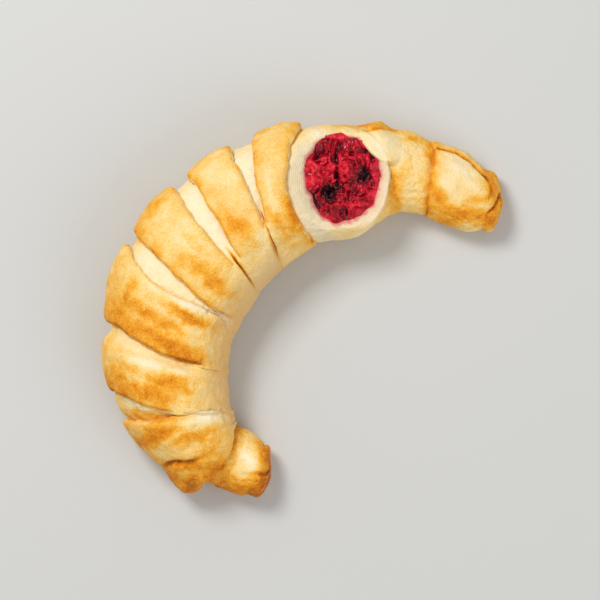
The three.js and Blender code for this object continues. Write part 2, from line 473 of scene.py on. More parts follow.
@dataclass(frozen=True)
class CrustFinish:
    """Baked dough: the stored masks say where it is pale, browned, burnt, cut or stained.

    The depths are how much bake the patches, flecks, pores, toasting and burning add at their fullest. Some
    of the toasting, the burning and the pale marks are painted shade and painted highlights.
    """

    effects: SharedEffects
    patch_scale: float = 85.0
    fleck_scale: float = 420.0
    patch_depth: float = 0.30
    fleck_depth: float = 0.36
    pore_depth: float = 0.6
    toast_and_shade_depth: float = 0.42
    scorch_and_shade_depth: float = 0.5
    roughness: float = 0.55
    specular_level: float = 0.14
    bump_depth: float = 0.0012
    bump_strength: float = 0.8
    dust: Colour = (0.97, 0.92, 1.0, 1.0)
    # Tan of the crescent's inner side: partly real baking, partly painted shade on the side turned from the
    # light.
    tan: Colour = (0.70, 0.43, 0.17, 1.0)
    juice: Colour = (0.62, 0.12, 0.14, 1.0)
    dark_crumb: Colour = (0.78, 0.63, 0.39, 1.0)
    pale_crumb: Colour = (0.87, 0.75, 0.51, 1.0)
    layer_gap: Colour = (0.45, 0.36, 0.25, 1.0)
    crumb_scale: float = 260.0
    layer_count: float = 150.0
    layer_waver: float = 6.5

    def build(self) -> bpy.types.Material:
        """Build the material.

        Returns:
            The material.
        """
        material, sheet, shader = start_material("baked_crust")
        place = sheet.add("ShaderNodeTexCoord").outputs["Object"]
        grain = sheet.add("ShaderNodeGroup", node_tree=self.effects.grain)
        sheet.feed(grain.inputs["Place"], place)
        sheet.feed(grain.inputs["Patch Scale"], self.patch_scale)
        sheet.feed(grain.inputs["Fleck Scale"], self.fleck_scale)
        uneven = sheet.math("MULTIPLY", grain.outputs["Patches"], self.patch_depth)
        speckle = sheet.math("MULTIPLY", grain.outputs["Flecks"], self.fleck_depth)
        flour = sheet.math("MULTIPLY", grain.outputs["Pores"], self.pore_depth)
        liveliness = sheet.remap(sheet.mask("bake"), 0.0, 0.45, 0.35, 1.0)
        mottle = sheet.math("ADD", sheet.math("ADD", uneven, speckle), flour)
        change = sheet.math("MULTIPLY", mottle, liveliness)
        baked = sheet.math("ADD", sheet.mask("bake"), change)
        # Toasting, partly painted shade where the marks and the edge browning stand for shadow.
        toast_and_shade = sheet.math("MULTIPLY", sheet.mask("toast_and_shade"), self.toast_and_shade_depth)
        toasted_and_shaded = sheet.math("ADD", baked, toast_and_shade)
        # Burnt darkening of creases, cracks and lips: partly real burning, partly painted shade in them.
        scorch_and_shade = sheet.math("MULTIPLY", sheet.mask("scorch_and_shade"), self.scorch_and_shade_depth)
        scorched_and_shaded = sheet.math("ADD", toasted_and_shaded, scorch_and_shade)
        bake = sheet.add("ShaderNodeGroup", node_tree=self.effects.bake)
        sheet.feed(bake.inputs["Bake"], sheet.math("MAXIMUM", scorched_and_shaded, 0.0))
        dusty = sheet.remap(sheet.noise(place, 60.0, 4.0, 0.65), 0.48, 0.66, 0.0, 0.55)
        dusted = sheet.blend(dusty, bake.outputs["Colour"], self.dust, "MULTIPLY")
        # The inner side's tan, partly painted shade.
        tanned_and_shaded = sheet.blend(sheet.mask("tan"), dusted, self.tan)
        sliced = sheet.blend(sheet.mask("cut"), tanned_and_shaded, self.crumb(sheet, place))
        stained = sheet.blend(sheet.mask("stain"), sliced, self.juice)
        sheet.feed(shader.inputs["Base Color"], stained)
        gloss = sheet.remap(sheet.mask("bake"), 0.1, 0.5, self.roughness + 0.15, self.roughness)
        sheet.feed(shader.inputs["Roughness"], gloss)
        shader.inputs["Specular IOR Level"].default_value = self.specular_level
        bump = sheet.add("ShaderNodeBump")
        sheet.feed(bump.inputs["Height"], grain.outputs["Height"])
        bump.inputs["Distance"].default_value = self.bump_depth
        bump.inputs["Strength"].default_value = self.bump_strength
        sheet.feed(shader.inputs["Normal"], bump.outputs["Normal"])
        return material

    def crumb(self, sheet: NodeSheet, place: bpy.types.NodeSocket) -> bpy.types.NodeSocket:
        """Colour of the soft dough inside, with the thin dark gaps between its rolled layers.

        Args:
            sheet: the material's sheet.
            place: coordinates that its noise is read at.

        Returns:
            The colour's socket.
        """
        cloud = sheet.noise(place, self.crumb_scale, 3.0, 0.6)
        crumb = sheet.blend(cloud, self.dark_crumb, self.pale_crumb)
        phase = sheet.math("MULTIPLY", sheet.mask("reach"), self.layer_count)
        waver = sheet.math("MULTIPLY", sheet.noise(place, self.crumb_scale), self.layer_waver)
        lines = sheet.remap(sheet.math("SINE", sheet.math("ADD", phase, waver)), -0.2, 1.0, 0.08, 0.42)
        shade = sheet.math("MULTIPLY", lines, sheet.mask("layers"))
        return sheet.blend(shade, crumb, self.layer_gap)


@dataclass(frozen=True)
class CherryFinish:
    """Wet cooked cherries: bright red skins and maroon flesh, with painted shade in the hollows and painted
    light on the crests.

    All their gloss is that of the juice on them, so the flesh itself has none.
    """

    roughness: float = 0.17
    juice_roughness: float = 0.1
    juice_ior: float = 1.36
    bump_depth: float = 0.00065
    lump_depth: float = 0.9
    shred_depth: float = 0.5

    def build(self) -> bpy.types.Material:
        """Build the material.

        Returns:
            The material.
        """
        material, sheet, shader = start_material("wet_cherry")
        place = sheet.add("ShaderNodeTexCoord").outputs["Object"]
        shreds = sheet.noise(place, 900.0, 4.0, 0.65)
        ripples = sheet.noise(place, 480.0, 1.0, 0.5)
        lumps = sheet.noise(place, 200.0, 2.0, 0.5)
        # The stored tone: painted light on the crests and painted shade in the hollows.
        rise = sheet.mask("rise")
        spread = sheet.math("MULTIPLY", sheet.math("SUBTRACT", lumps, 0.5), self.lump_depth)
        fine = sheet.math("MULTIPLY", sheet.math("SUBTRACT", shreds, 0.5), self.shred_depth)
        tone = sheet.math("ADD", rise, sheet.math("ADD", spread, fine))
        sheet.feed(shader.inputs["Base Color"], sheet.ramp(tone, CHERRY_STOPS))
        shader.inputs["Roughness"].default_value = self.roughness
        shader.inputs["Specular IOR Level"].default_value = 0.0
        shader.inputs["Coat Weight"].default_value = 1.0
        shader.inputs["Coat Roughness"].default_value = self.juice_roughness
        shader.inputs["Coat IOR"].default_value = self.juice_ior
        bump = sheet.add("ShaderNodeBump")
        sheet.feed(bump.inputs["Height"], ripples)
        bump.inputs["Distance"].default_value = self.bump_depth
        sheet.feed(shader.inputs["Normal"], bump.outputs["Normal"])
        sheet.feed(shader.inputs["Coat Normal"], bump.outputs["Normal"])
        return material


@dataclass(frozen=True)
class FloorFinish:
    """Plain pale surface under the roll, with faint darker clouds."""

    colour: tuple[float, float, float] = (0.585, 0.589, 0.58)
    cloud_share: float = 0.97
    roughness: float = 0.6

    def build(self) -> bpy.types.Material:
        """Build the material.

        Returns:
            The material.
        """
        material, sheet, shader = start_material("pale_floor")
        place = sheet.add("ShaderNodeTexCoord").outputs["Object"]
        cloud = sheet.noise(place, 6.0, 1.0)
        darker = tuple(self.cloud_share * part for part in self.colour)
        colour = sheet.blend(cloud, (*self.colour, 1.0), (*darker, 1.0))
        sheet.feed(shader.inputs["Base Color"], colour)
        shader.inputs["Roughness"].default_value = self.roughness
        return material


# ------------------------------------------------------------------ the roll's shape


@dataclass(frozen=True)
class Edge:
    """An upright section of the roll, on the chord from the crescent's outside to its inside.

    `bow` is how far the middle of the section leans towards the tip, and `skew` how much more
    its inner half does so than its outer half. The bow is a parabola at `bluntness` 1 and
    rounder below it.
    """

    outer: tuple[float, float]
    inner: tuple[float, float]
    height: float
    bow: float = 0.0
    skew: float = 0.0
    squareness: float = 2.15
    bluntness: float = 1.0


class Dough(Enum):
    """What kind of dough a stretch of the roll is."""

    BAND = "a raised band"
    RECESS = "the lower layer between two bands"
    PLAIN = "dough with no lip at its ends"


@dataclass(frozen=True)
class Stretch:
    """The dough between two edges.

    `lift` is how far a band stands above the layer under it, `inner_lift_share` how much of
    that is left inside the crescent, and `bake` how far it is baked.
    Its pair of edge numbers toasts its edge nearest the tail and nearest the tip; at the tail's neck they
    paint the shade that the sleeve's mouth casts on it. A recess closes at the side `closes` (-1 outside the
    crescent, 1 inside), and `crack` says how deep a crack runs on from there.
    """

    dough: Dough
    bake: float
    lift: float = 0.0
    browning_and_shade: tuple[float, float] = (0.0, 0.0)
    inner_lift_share: float = 0.3
    closes: float = 2.0
    crack: float = 0.0


@dataclass(frozen=True)
class Mark:
    """A soft-edged oval mark on the crust, seen from above."""

    x: float
    y: float
    length: float
    width: float
    turn: float
    strength: float


@dataclass(frozen=True)
class Crease:
    """A line pressed or folded into the crust, seen from above, fading towards its last point; its burnt
    darkening is partly painted shade in the fold.
    """

    points: tuple[tuple[float, float], ...]
    width: float
    depth: float
    scorch_and_shade: float = 0.5


@dataclass(frozen=True)
class Bulge:
    """A soft swelling of the crust, or a hollow if its height is negative."""

    centre: tuple[float, float, float]
    radii: tuple[float, float, float]
    height: float

    def height_at(self, points: Array) -> Array:
        """Height of the swelling at each point."""
        away = (points - np.array(self.centre)) / np.array(self.radii)
        return self.height * np.exp(-np.sum(away**2, axis=-1))


EDGES = {
    "tail_pole": Edge((-13.6, -68.0), (-13.6, -66.8), 9),
    "tail_end": Edge((-15.6, -73.4), (-13.8, -61.6), 15),
    "tail_belly": Edge((-23.2, -76.6), (-16.8, -56.4), 20),
    "tail_neck": Edge((-33.6, -73.4), (-23.0, -50.8), 19.5, -1),
    "sleeve_mouth": Edge((-42.0, -70.2), (-28.6, -48.4), 20.5, -3.8),
    "sleeve_crease": Edge((-54.6, -62.6), (-28.8, -46.8), 29, 1),
    "band_2_end": Edge((-69.8, -46.2), (-29.6, -43.2), 32, 1.5, 2),
    "band_3_start": Edge((-76.4, -33.6), (-30.9, -39.6), 34, -4.6, -1.5),
    "band_3_end": Edge((-78.0, -11.0), (-31.9, -27.4), 35, -2.8, 3),
    "band_4_start": Edge((-76.8, -5.6), (-31.8, -23.4), 35.5, -4.2, -0.5),
    "band_4_end": Edge((-69.8, 24.6), (-28.9, -9.0), 36, -3.8, 6.5),
    "band_5_start": Edge((-66.8, 28.8), (-27.0, -5.6), 36, -2, -1.5),
    "band_5_end": Edge((-51.6, 47.4), (-19.6, 5.8), 36, -0.8, 2.1),
    "band_6_start": Edge((-46.0, 51.8), (-18.6, 7.0), 36, 0.8),
    "band_6_end": Edge((-29.8, 63.0), (-9.6, 16.8), 36, 0.2),
    "band_7_start": Edge((-20.4, 67.4), (-8.4, 17.6), 36, -3.0),
    "band_7_end": Edge((-1.0, 72.4), (4.6, 26.2), 35.5, -9.0, 0, 2.5, 0.9),
    "cup_end": Edge((15.6, 74.0), (14.8, 27.6), 29, 17.8, 0, 2.9, 0.62),
    "ring_foot": Edge((19.0, 74.2), (17.2, 28.2), 22, 16.2, 0, 2.5, 0.62),
    "band_9_start": Edge((27.0, 74.6), (34.0, 37.4), 22, 5.6, 0, 2.3, 0.8),
    "band_9_end": Edge((53.0, 66.0), (49.4, 37.8), 20.6, -0.6),
    "band_10_end": Edge((72.6, 56.0), (71.6, 32.0), 18.4, 1.0),
    "tip_end": Edge((79.6, 50.2), (78.8, 35.2), 14.5),
    "tip_pole": Edge((81.0, 43.6), (81.0, 42.4), 9),
}

# The dough after each edge, named by the edge where it starts.
STRETCHES = {
    "tail_pole": Stretch(Dough.PLAIN, 0.44),
    "tail_end": Stretch(Dough.PLAIN, 0.36),
    "tail_belly": Stretch(Dough.PLAIN, 0.24),
    # Its darkening at the end by the sleeve's mouth is painted shade cast by the sleeve.
    "tail_neck": Stretch(Dough.RECESS, 0.34, 0.0, (0.0, 0.9)),
    "sleeve_mouth": Stretch(Dough.BAND, 0.31, 4.8, (0.0, 0.0), 0.5),
    "sleeve_crease": Stretch(Dough.BAND, 0.30, 4.2, (0.0, 0.3), 0.25),
    "band_2_end": Stretch(Dough.RECESS, 0.16, closes=0.0),
    "band_3_start": Stretch(Dough.BAND, 0.29, 3.0, (1.0, 0.0)),
    "band_3_end": Stretch(Dough.RECESS, 0.18, closes=0.5),
    "band_4_start": Stretch(Dough.BAND, 0.29, 4.0, (1.1, 0.0)),
    "band_4_end": Stretch(Dough.RECESS, 0.08, closes=0.86),
    "band_5_start": Stretch(Dough.BAND, 0.26, 4.4, (0.8, 0.35)),
    "band_5_end": Stretch(Dough.RECESS, 0.02, closes=0.3, crack=1.5),
    "band_6_start": Stretch(Dough.BAND, 0.22, 4.0, (0.75, 0.6)),
    "band_6_end": Stretch(Dough.RECESS, 0.04, closes=0.2, crack=2.0),
    "band_7_start": Stretch(Dough.BAND, 0.28, 3.8, (0.45, 0.45)),
    "band_7_end": Stretch(Dough.RECESS, 0.2),
    "cup_end": Stretch(Dough.PLAIN, 0.14),
    "ring_foot": Stretch(Dough.PLAIN, 0.3),
    "band_9_start": Stretch(Dough.PLAIN, 0.24, 0.0, (0.0, 0.5)),
    "band_9_end": Stretch(Dough.BAND, 0.23, 2.0, (0.6, 0.1), 0.6),
    "band_10_end": Stretch(Dough.BAND, 0.32, 1.2, (0.0, 0.0), 0.6),
    "tip_end": Stretch(Dough.PLAIN, 0.34),
}

# Toasted marks; a few of them, noted beside them, are painted shade.
TOAST_AND_SHADE_MARKS = (
    Mark(-4.6, 37.0, 7.0, 3.0, -75, 0.7),
    Mark(-10.5, 33.0, 6.0, 2.6, -60, 0.4),
    Mark(-8.0, 29.0, 5.0, 2.0, -50, 0.3),
    Mark(-25.2, 31.0, 9.0, 3.6, -45, 0.75),
    Mark(-31.0, 37.0, 7.0, 2.6, -50, 0.35),
    Mark(-21.0, 27.0, 5.0, 2.5, -40, 0.4),
    Mark(-41.0, 15.5, 11.0, 3.0, -38, 0.6),
    Mark(-35.5, 10.0, 8.0, 3.0, -38, 0.7),
    Mark(-45.0, 26.0, 6.0, 2.0, -45, 0.35),
    Mark(-60.0, 40.0, 5.0, 2.4, 50, 0.4),
    Mark(-67.0, 30.0, 3.0, 4.0, 20, 0.4),
    Mark(-57.0, -13.0, 19.0, 3.2, -27, 0.85),
    Mark(-63.0, -3.0, 9.0, 2.6, -36, 0.8),
    Mark(-55.0, -7.0, 7.0, 2.6, -25, 0.7),
    Mark(-46.0, -4.0, 9.0, 2.2, -25, 1.05),
    # The next mark darkens the lip under the fourth band: partly browning, partly painted shade.
    Mark(-46.5, -20.6, 6.0, 1.3, -13, 1.3),
    Mark(-70.0, 6.0, 8.0, 2.2, 62, 0.5),
    Mark(-74.0, -2.0, 5.0, 3.0, -40, 0.5),
    Mark(-66.0, -9.0, 8.0, 3.0, -30, 0.5),
    Mark(-55.0, -30.0, 8.0, 2.8, -10, 1.0),
    Mark(-64.0, -33.5, 14.0, 2.8, -12, 0.9),
    Mark(-47.0, -33.0, 5.0, 2.5, -10, 0.5),
    Mark(-74.0, -28.0, 5.0, 3.0, -50, 0.6),
    Mark(-70.0, -24.0, 4.0, 1.6, -30, 0.4),
    Mark(-63.0, -43.6, 9.0, 1.8, -6, 1.0),
    Mark(-59.0, -51.5, 10.0, 2.8, 24, 1.0),
    Mark(-44.0, -52.0, 8.0, 2.6, 20, 0.7),
    Mark(-39.0, -57.0, 6.0, 3.0, 40, 0.4),
    Mark(-48.0, -64.5, 8.0, 2.4, 2, 0.7),
    Mark(-45.5, -72.6, 5.0, 4.0, -30, 1.4),
    Mark(-53.0, -69.5, 4.0, 3.5, -45, 0.9),
    Mark(-37.0, -66.0, 7.0, 2.4, 55, 0.9),
    Mark(-14.5, -60.5, 8.0, 3.0, -58, 0.9),
    Mark(-13.0, -66.0, 3.0, 5.0, 0, 0.6),
    Mark(-25.0, -74.6, 12.0, 3.6, -6, 1.6),
    Mark(-17.0, -71.5, 6.0, 4.5, 30, 1.2),
    Mark(-31.0, -71.0, 5.0, 3.5, -20, 0.8),
    Mark(44.0, 68.0, 3.4, 1.8, 0, 0.8),
    # The next mark darkens the dough beside the ring's rim: partly browning, partly the rim's painted shadow.
    Mark(36.8, 47.0, 2.2, 9.0, 0, 0.6),
    Mark(40.0, 56.0, 3.0, 9.0, -15, 0.25),
    # The next two marks darken the seam between the ninth and tenth bands: painted shade under the tenth
    # band's raised edge.
    Mark(50.0, 44.0, 1.6, 7.0, 0, 0.45),
    Mark(51.0, 61.0, 1.4, 5.0, 15, 0.9),
    Mark(54.0, 45.0, 5.0, 2.4, -52, 1.25),
    Mark(63.0, 38.0, 10.0, 3.0, -10, 1.5),
    Mark(69.0, 43.0, 6.0, 2.2, 20, 0.6),
    Mark(73.0, 36.0, 7.0, 3.0, -12, 1.1),
    Mark(76.0, 49.5, 3.0, 7.0, 14, 0.6),
    Mark(78.0, 41.0, 3.0, 7.0, 0, 0.6),
    Mark(57.0, 35.0, 6.0, 2.0, -10, 0.7),
    Mark(27.0, 74.0, 10.0, 1.8, 0, 0.7),
)

# Pale marks: cream, little-baked dough, and painted highlights. Those at (-63, -22) and (-38.5, -44) paint
# the light's highlight on the bands, and those over the pillow are partly painted highlight.
CREAM_AND_HIGHLIGHT_MARKS = (
    Mark(-63.0, -22.0, 12.0, 2.6, -14, 1.0),
    Mark(-50.0, -25.5, 8.0, 1.8, -8, 0.8),
    Mark(-38.5, -44.0, 9.0, 4.0, 8, 1.0),
    Mark(-47.0, -46.0, 8.0, 1.8, 10, 0.7),
    Mark(31.5, 65.5, 12.0, 9.0, -40, 0.55),
    Mark(38.0, 61.0, 7.0, 8.0, 0, 0.5),
    Mark(4.8, 70.0, 6.5, 4.0, 0, 1.0),
    Mark(61.0, 57.0, 10.0, 3.6, -28, 0.5),
    Mark(57.0, 51.0, 4.0, 6.0, 0, 0.5),
    Mark(67.0, 50.0, 5.0, 2.0, -30, 0.5),
    Mark(-23.0, -61.0, 6.5, 2.6, -50, 1.0),
    Mark(-46.0, 1.0, 13.0, 2.2, -24, 1.0),
    Mark(-60.0, 8.0, 7.0, 1.6, -36, 0.6),
    Mark(-37.0, 42.0, 2.5, 5.0, 40, 0.4),
    Mark(-5.0, 55.0, 2.0, 8.0, 0, 0.35),
    Mark(-14.0, 48.0, 1.6, 10.0, 8, 0.35),
)

# Creases: points, width, depth and burn; the burn is partly painted shade in the crease.
CREASES = (
    Crease(((3.9, 25.0), (2.4, 28.6), (0.8, 31.0)), 0.5, 0.6, 0.7),
    Crease(((-13.2, -66.0), (-15.6, -67.8), (-20.0, -67.2), (-25.0, -68.2)), 0.7, 0.8, 0.4),
    Crease(((-59.0, -65.0), (-53.0, -62.8), (-47.0, -62.4), (-39.0, -60.0)), 1.0, 2.2, 0.5),
    Crease(((54.0, 64.8), (61.0, 62.6), (67.0, 59.0), (73.6, 53.2), (76.0, 49.0)), 0.55, 0.9, 1.0),
    Crease(((80.2, 46.6), (77.6, 41.0), (72.8, 36.6)), 0.6, 1.2, 0.7),
    Crease(((75.4, 52.4), (76.0, 47.0), (74.0, 42.0)), 0.6, 0.6, 0.3),
    Crease(((-51.0, -20.4), (-46.0, -21.7), (-38.0, -23.2)), 0.5, 0.3, 0.4),
    Crease(((37.0, 71.2), (30.4, 72.2), (25.6, 71.6), (20.8, 70.4)), 0.5, 0.9, 0.5),
)

BULGES = (
    Bulge((30.2, 74.5, 14.0), (3.4, 4.0, 14.0), 2.4),
    Bulge((8.0, 73.0, 16.0), (5.0, 4.0, 14.0), 0.9),
    Bulge((64.0, 63.0, 9.0), (9.0, 5.0, 12.0), 1.2),
    Bulge((-49.0, -72.0, 12.0), (6.5, 6.5, 12.0), 3.2),
    Bulge((-39.2, -73.0, 9.0), (2.4, 4.0, 12.0), -0.7),
    Bulge((-72.5, -41.5, 12.0), (5.0, 5.0, 14.0), 1.2),
    Bulge((50.5, 68.0, 10.0), (6.0, 5.0, 12.0), 1.1),
    Bulge((-80.0, 8.0, 13.0), (6.0, 15.0, 16.0), 2.1),
    Bulge((-75.0, -38.0, 13.0), (5.0, 5.0, 16.0), 0.9),
    Bulge((42.0, 70.0, 10.0), (8.0, 5.0, 12.0), 1.6),
    Bulge((44.0, 52.0, 22.0), (7.0, 10.0, 6.0), 0.8),
    Bulge((52.0, 52.0, 22.0), (2.6, 14.0, 8.0), -0.7),
)

# Pits in the heap of cherries, sunk into it and painted dark as shade.
HOLLOW_MARKS = (
    Mark(10.2, 45.5, 3.4, 5.5, 0, 1.0),
    Mark(12.8, 54.5, 1.2, 8.5, 0, 0.8),
    Mark(24.0, 53.5, 3.2, 8.0, 5, 0.75),
    Mark(19.0, 62.0, 3.0, 1.4, 30, 0.4),
)

CRUMPLED_MARKS = (
    Mark(-38.0, -2.5, 10.0, 6.0, -35, 1.0),
    Mark(-52.0, 9.0, 10.0, 5.0, -35, 0.35),
    Mark(-25.0, 42.0, 5.0, 12.0, 40, 0.3),
    Mark(66.0, 37.0, 13.0, 5.0, -10, 0.9),
    Mark(-20.0, -70.0, 10.0, 5.0, -8, 0.6),
    Mark(42.0, 55.0, 7.0, 12.0, 0, 0.3),
)

# Across the lip of a band, from the band: (offset, share of the height, depth of the groove).
STEP_PROFILE = (
    (-3.4, 1.00, 0.0),
    (-2.1, 0.99, 0.0),
    (-1.25, 0.955, 0.0),
    (-0.65, 0.88, 0.0),
    (-0.22, 0.76, 0.0),
    (0.02, 0.60, 0.0),
    (0.08, 0.42, 0.0),
    (-0.02, 0.24, 0.0),
    (-0.28, 0.10, 0.12),
    (-0.30, 0.0, 0.32),
    (0.10, 0.0, 0.36),
    (0.75, 0.0, 0.14),
    (1.7, 0.0, 0.0),
)
# Across a crease between two bands: (offset, share before, share after, depth of the groove).
CREASE_PROFILE = (
    (-2.6, 1.0, 0.0, 0.0),
    (-1.4, 0.97, 0.0, 0.05),
    (-0.7, 0.82, 0.05, 0.2),
    (-0.2, 0.52, 0.2, 0.6),
    (0.0, 0.36, 0.36, 0.9),
    (0.25, 0.2, 0.58, 0.7),
    (0.8, 0.05, 0.86, 0.2),
    (1.6, 0.0, 0.98, 0.05),
    (2.8, 0.0, 1.0, 0.0),
)
# Across an edge that rolls over softly: (offset, share before, share after, depth of the groove).
SOFT_PROFILE = (
    (-3.0, 0.0, 1.0, 0.0),
    (-1.6, 0.06, 0.94, 0.0),
    (-0.6, 0.26, 0.74, 0.0),
    (0.3, 0.5, 0.5, 0.0),
    (1.4, 0.76, 0.24, 0.0),
    (2.6, 0.93, 0.07, 0.0),
    (4.0, 1.0, 0.0, 0.0),
)
# Edges that roll over softly.
SOFT_EDGES = ("band_3_end",)
# Edges without a lip of their own.
PLAIN_JOINS = ("sleeve_crease", "band_10_end", "tip_end")
# Where the end rows lie, as a share of the end stretches, and how few rows these may have.
POLE_MARGIN = 0.1
POLE_ROWS = 7
# The share of a stretch's length that a lip may take up.
LIP_ROOM_SHARE = 0.42
# How much lower a band's lift is at its edges than in its middle, as a share.
CROWN = 0.14
# The cracks past the closed recesses, and the burnt line along a lip; their darkening is partly painted
# shade.
CRACK_WIDTH = 0.5
CRACK_SCORCH_AND_SHADE = 1.2
LIP_LINE_WIDTH = 0.45
LIP_LINE_SCORCH_AND_SHADE = 0.5


def mark_reach(points: Array, mark: Mark, spread: float = 1.0) -> Array:
    """Distance in plan from a mark's centre, as a share of its oval.

    Args:
        points: array whose last axis is x, y, z.
        mark: the mark.
        spread: how much larger than its sizes the mark is.

    Returns:
        One value for each point.
    """
    turn = math.radians(mark.turn)
    dx = points[..., 0] - mark.x
    dy = points[..., 1] - mark.y
    along = (dx * math.cos(turn) + dy * math.sin(turn)) / (mark.length * spread)
    across = (dy * math.cos(turn) - dx * math.sin(turn)) / (mark.width * spread)
    return np.hypot(along, across)


def mark_strength(points: Array, marks: tuple[Mark, ...], spread: float = 1.0) -> Array:
    """Strength of a set of marks at points, the strongest mark counting.

    Args:
        points: array whose last axis is x, y, z.
        marks: the marks.
        spread: how much larger than its sizes each mark is.

    Returns:
        One value for each point.
    """
    total = np.zeros(points.shape[:-1])
    for mark in marks:
        reach = mark_reach(points, mark, spread)
        total = np.maximum(total, mark.strength * np.exp(-2.0 * reach**2))
    return total


def crease_distance(points: Array, crease: Crease) -> tuple[Array, Array]:
    """Distance in plan from points to a crease's line.

    Args:
        points: array whose last axis is x, y, z.
        crease: the crease.

    Returns:
        For each point its distance, and where along the line its nearest place is, from 0 to 1.
    """
    nearest = np.full(points.shape[:-1], 1e9)
    place = np.zeros(points.shape[:-1])
    legs = len(crease.points) - 1
    for number, (start, end) in enumerate(zip(crease.points, crease.points[1:])):
        start, end = np.array(start), np.array(end)
        leg = end - start
        offset = points[..., :2] - start
        share = (offset @ leg / (leg @ leg)).clip(0, 1)
        away = offset - share[..., None] * leg
        distance = np.hypot(away[..., 0], away[..., 1])
        place = np.where(distance < nearest, (number + share) / legs, place)
        nearest = np.minimum(nearest, distance)
    return nearest, place


class RollSpine:
    """Smooth sections at any distance along the roll, through its edges."""

    COORDINATES = 4

    def __init__(self, edges: list[Edge]) -> None:
        """Measure the edges and work out the slope of each of their numbers.

        Args:
            edges: the sections, from the tail to the tip.
        """
        rows = [(*e.outer, *e.inner, e.height, e.bow, e.skew, e.squareness, e.bluntness) for e in edges]
        self.table = np.array(rows, float)
        middles = (self.table[:, 0:2] + self.table[:, 2:4]) / 2
        steps = np.linalg.norm(np.diff(middles, axis=0), axis=1)
        self.along = np.concatenate([[0.0], np.cumsum(steps)])
        self.slopes = self.edge_slopes()

    def edge_slopes(self) -> Array:
        """Slopes at the edges: smooth in plan, and never overshooting in the other numbers.

        Returns:
            One row for each edge, one column for each of its numbers.
        """
        gaps = np.diff(self.along)
        rises = np.diff(self.table, axis=0) / gaps[:, None]
        slopes = np.zeros_like(self.table)
        slopes[0] = rises[0]
        slopes[-1] = rises[-1]
        for i in range(1, len(self.table) - 1):
            before, after = rises[i - 1], rises[i]
            smooth = (before * gaps[i] + after * gaps[i - 1]) / (gaps[i] + gaps[i - 1])
            same_way = before * after > 0
            total = np.where(same_way, before + after, 1.0)
            slopes[i] = np.where(same_way, 2 * before * after / total, 0.0)
            slopes[i, : self.COORDINATES] = smooth[: self.COORDINATES]
        return slopes

    def fields(self, distance: Array) -> Array:
        """The section's numbers at distances along the roll.

        Args:
            distance: distances from the tail's pole.

        Returns:
            The numbers of an edge, on a new last axis.
        """
        i = np.clip(np.searchsorted(self.along, distance, side="right") - 1, 0, len(self.along) - 2)
        span = (self.along[i + 1] - self.along[i])[..., None]
        t = (distance - self.along[i])[..., None] / span
        start, end = self.table[i], self.table[i + 1]
        slope_in = (1 - t) ** 2 * t * span * self.slopes[i]
        slope_out = t**2 * (1 - t) * span * self.slopes[i + 1]
        return (1 + 2 * t) * (1 - t) ** 2 * start + t**2 * (3 - 2 * t) * end + slope_in - slope_out


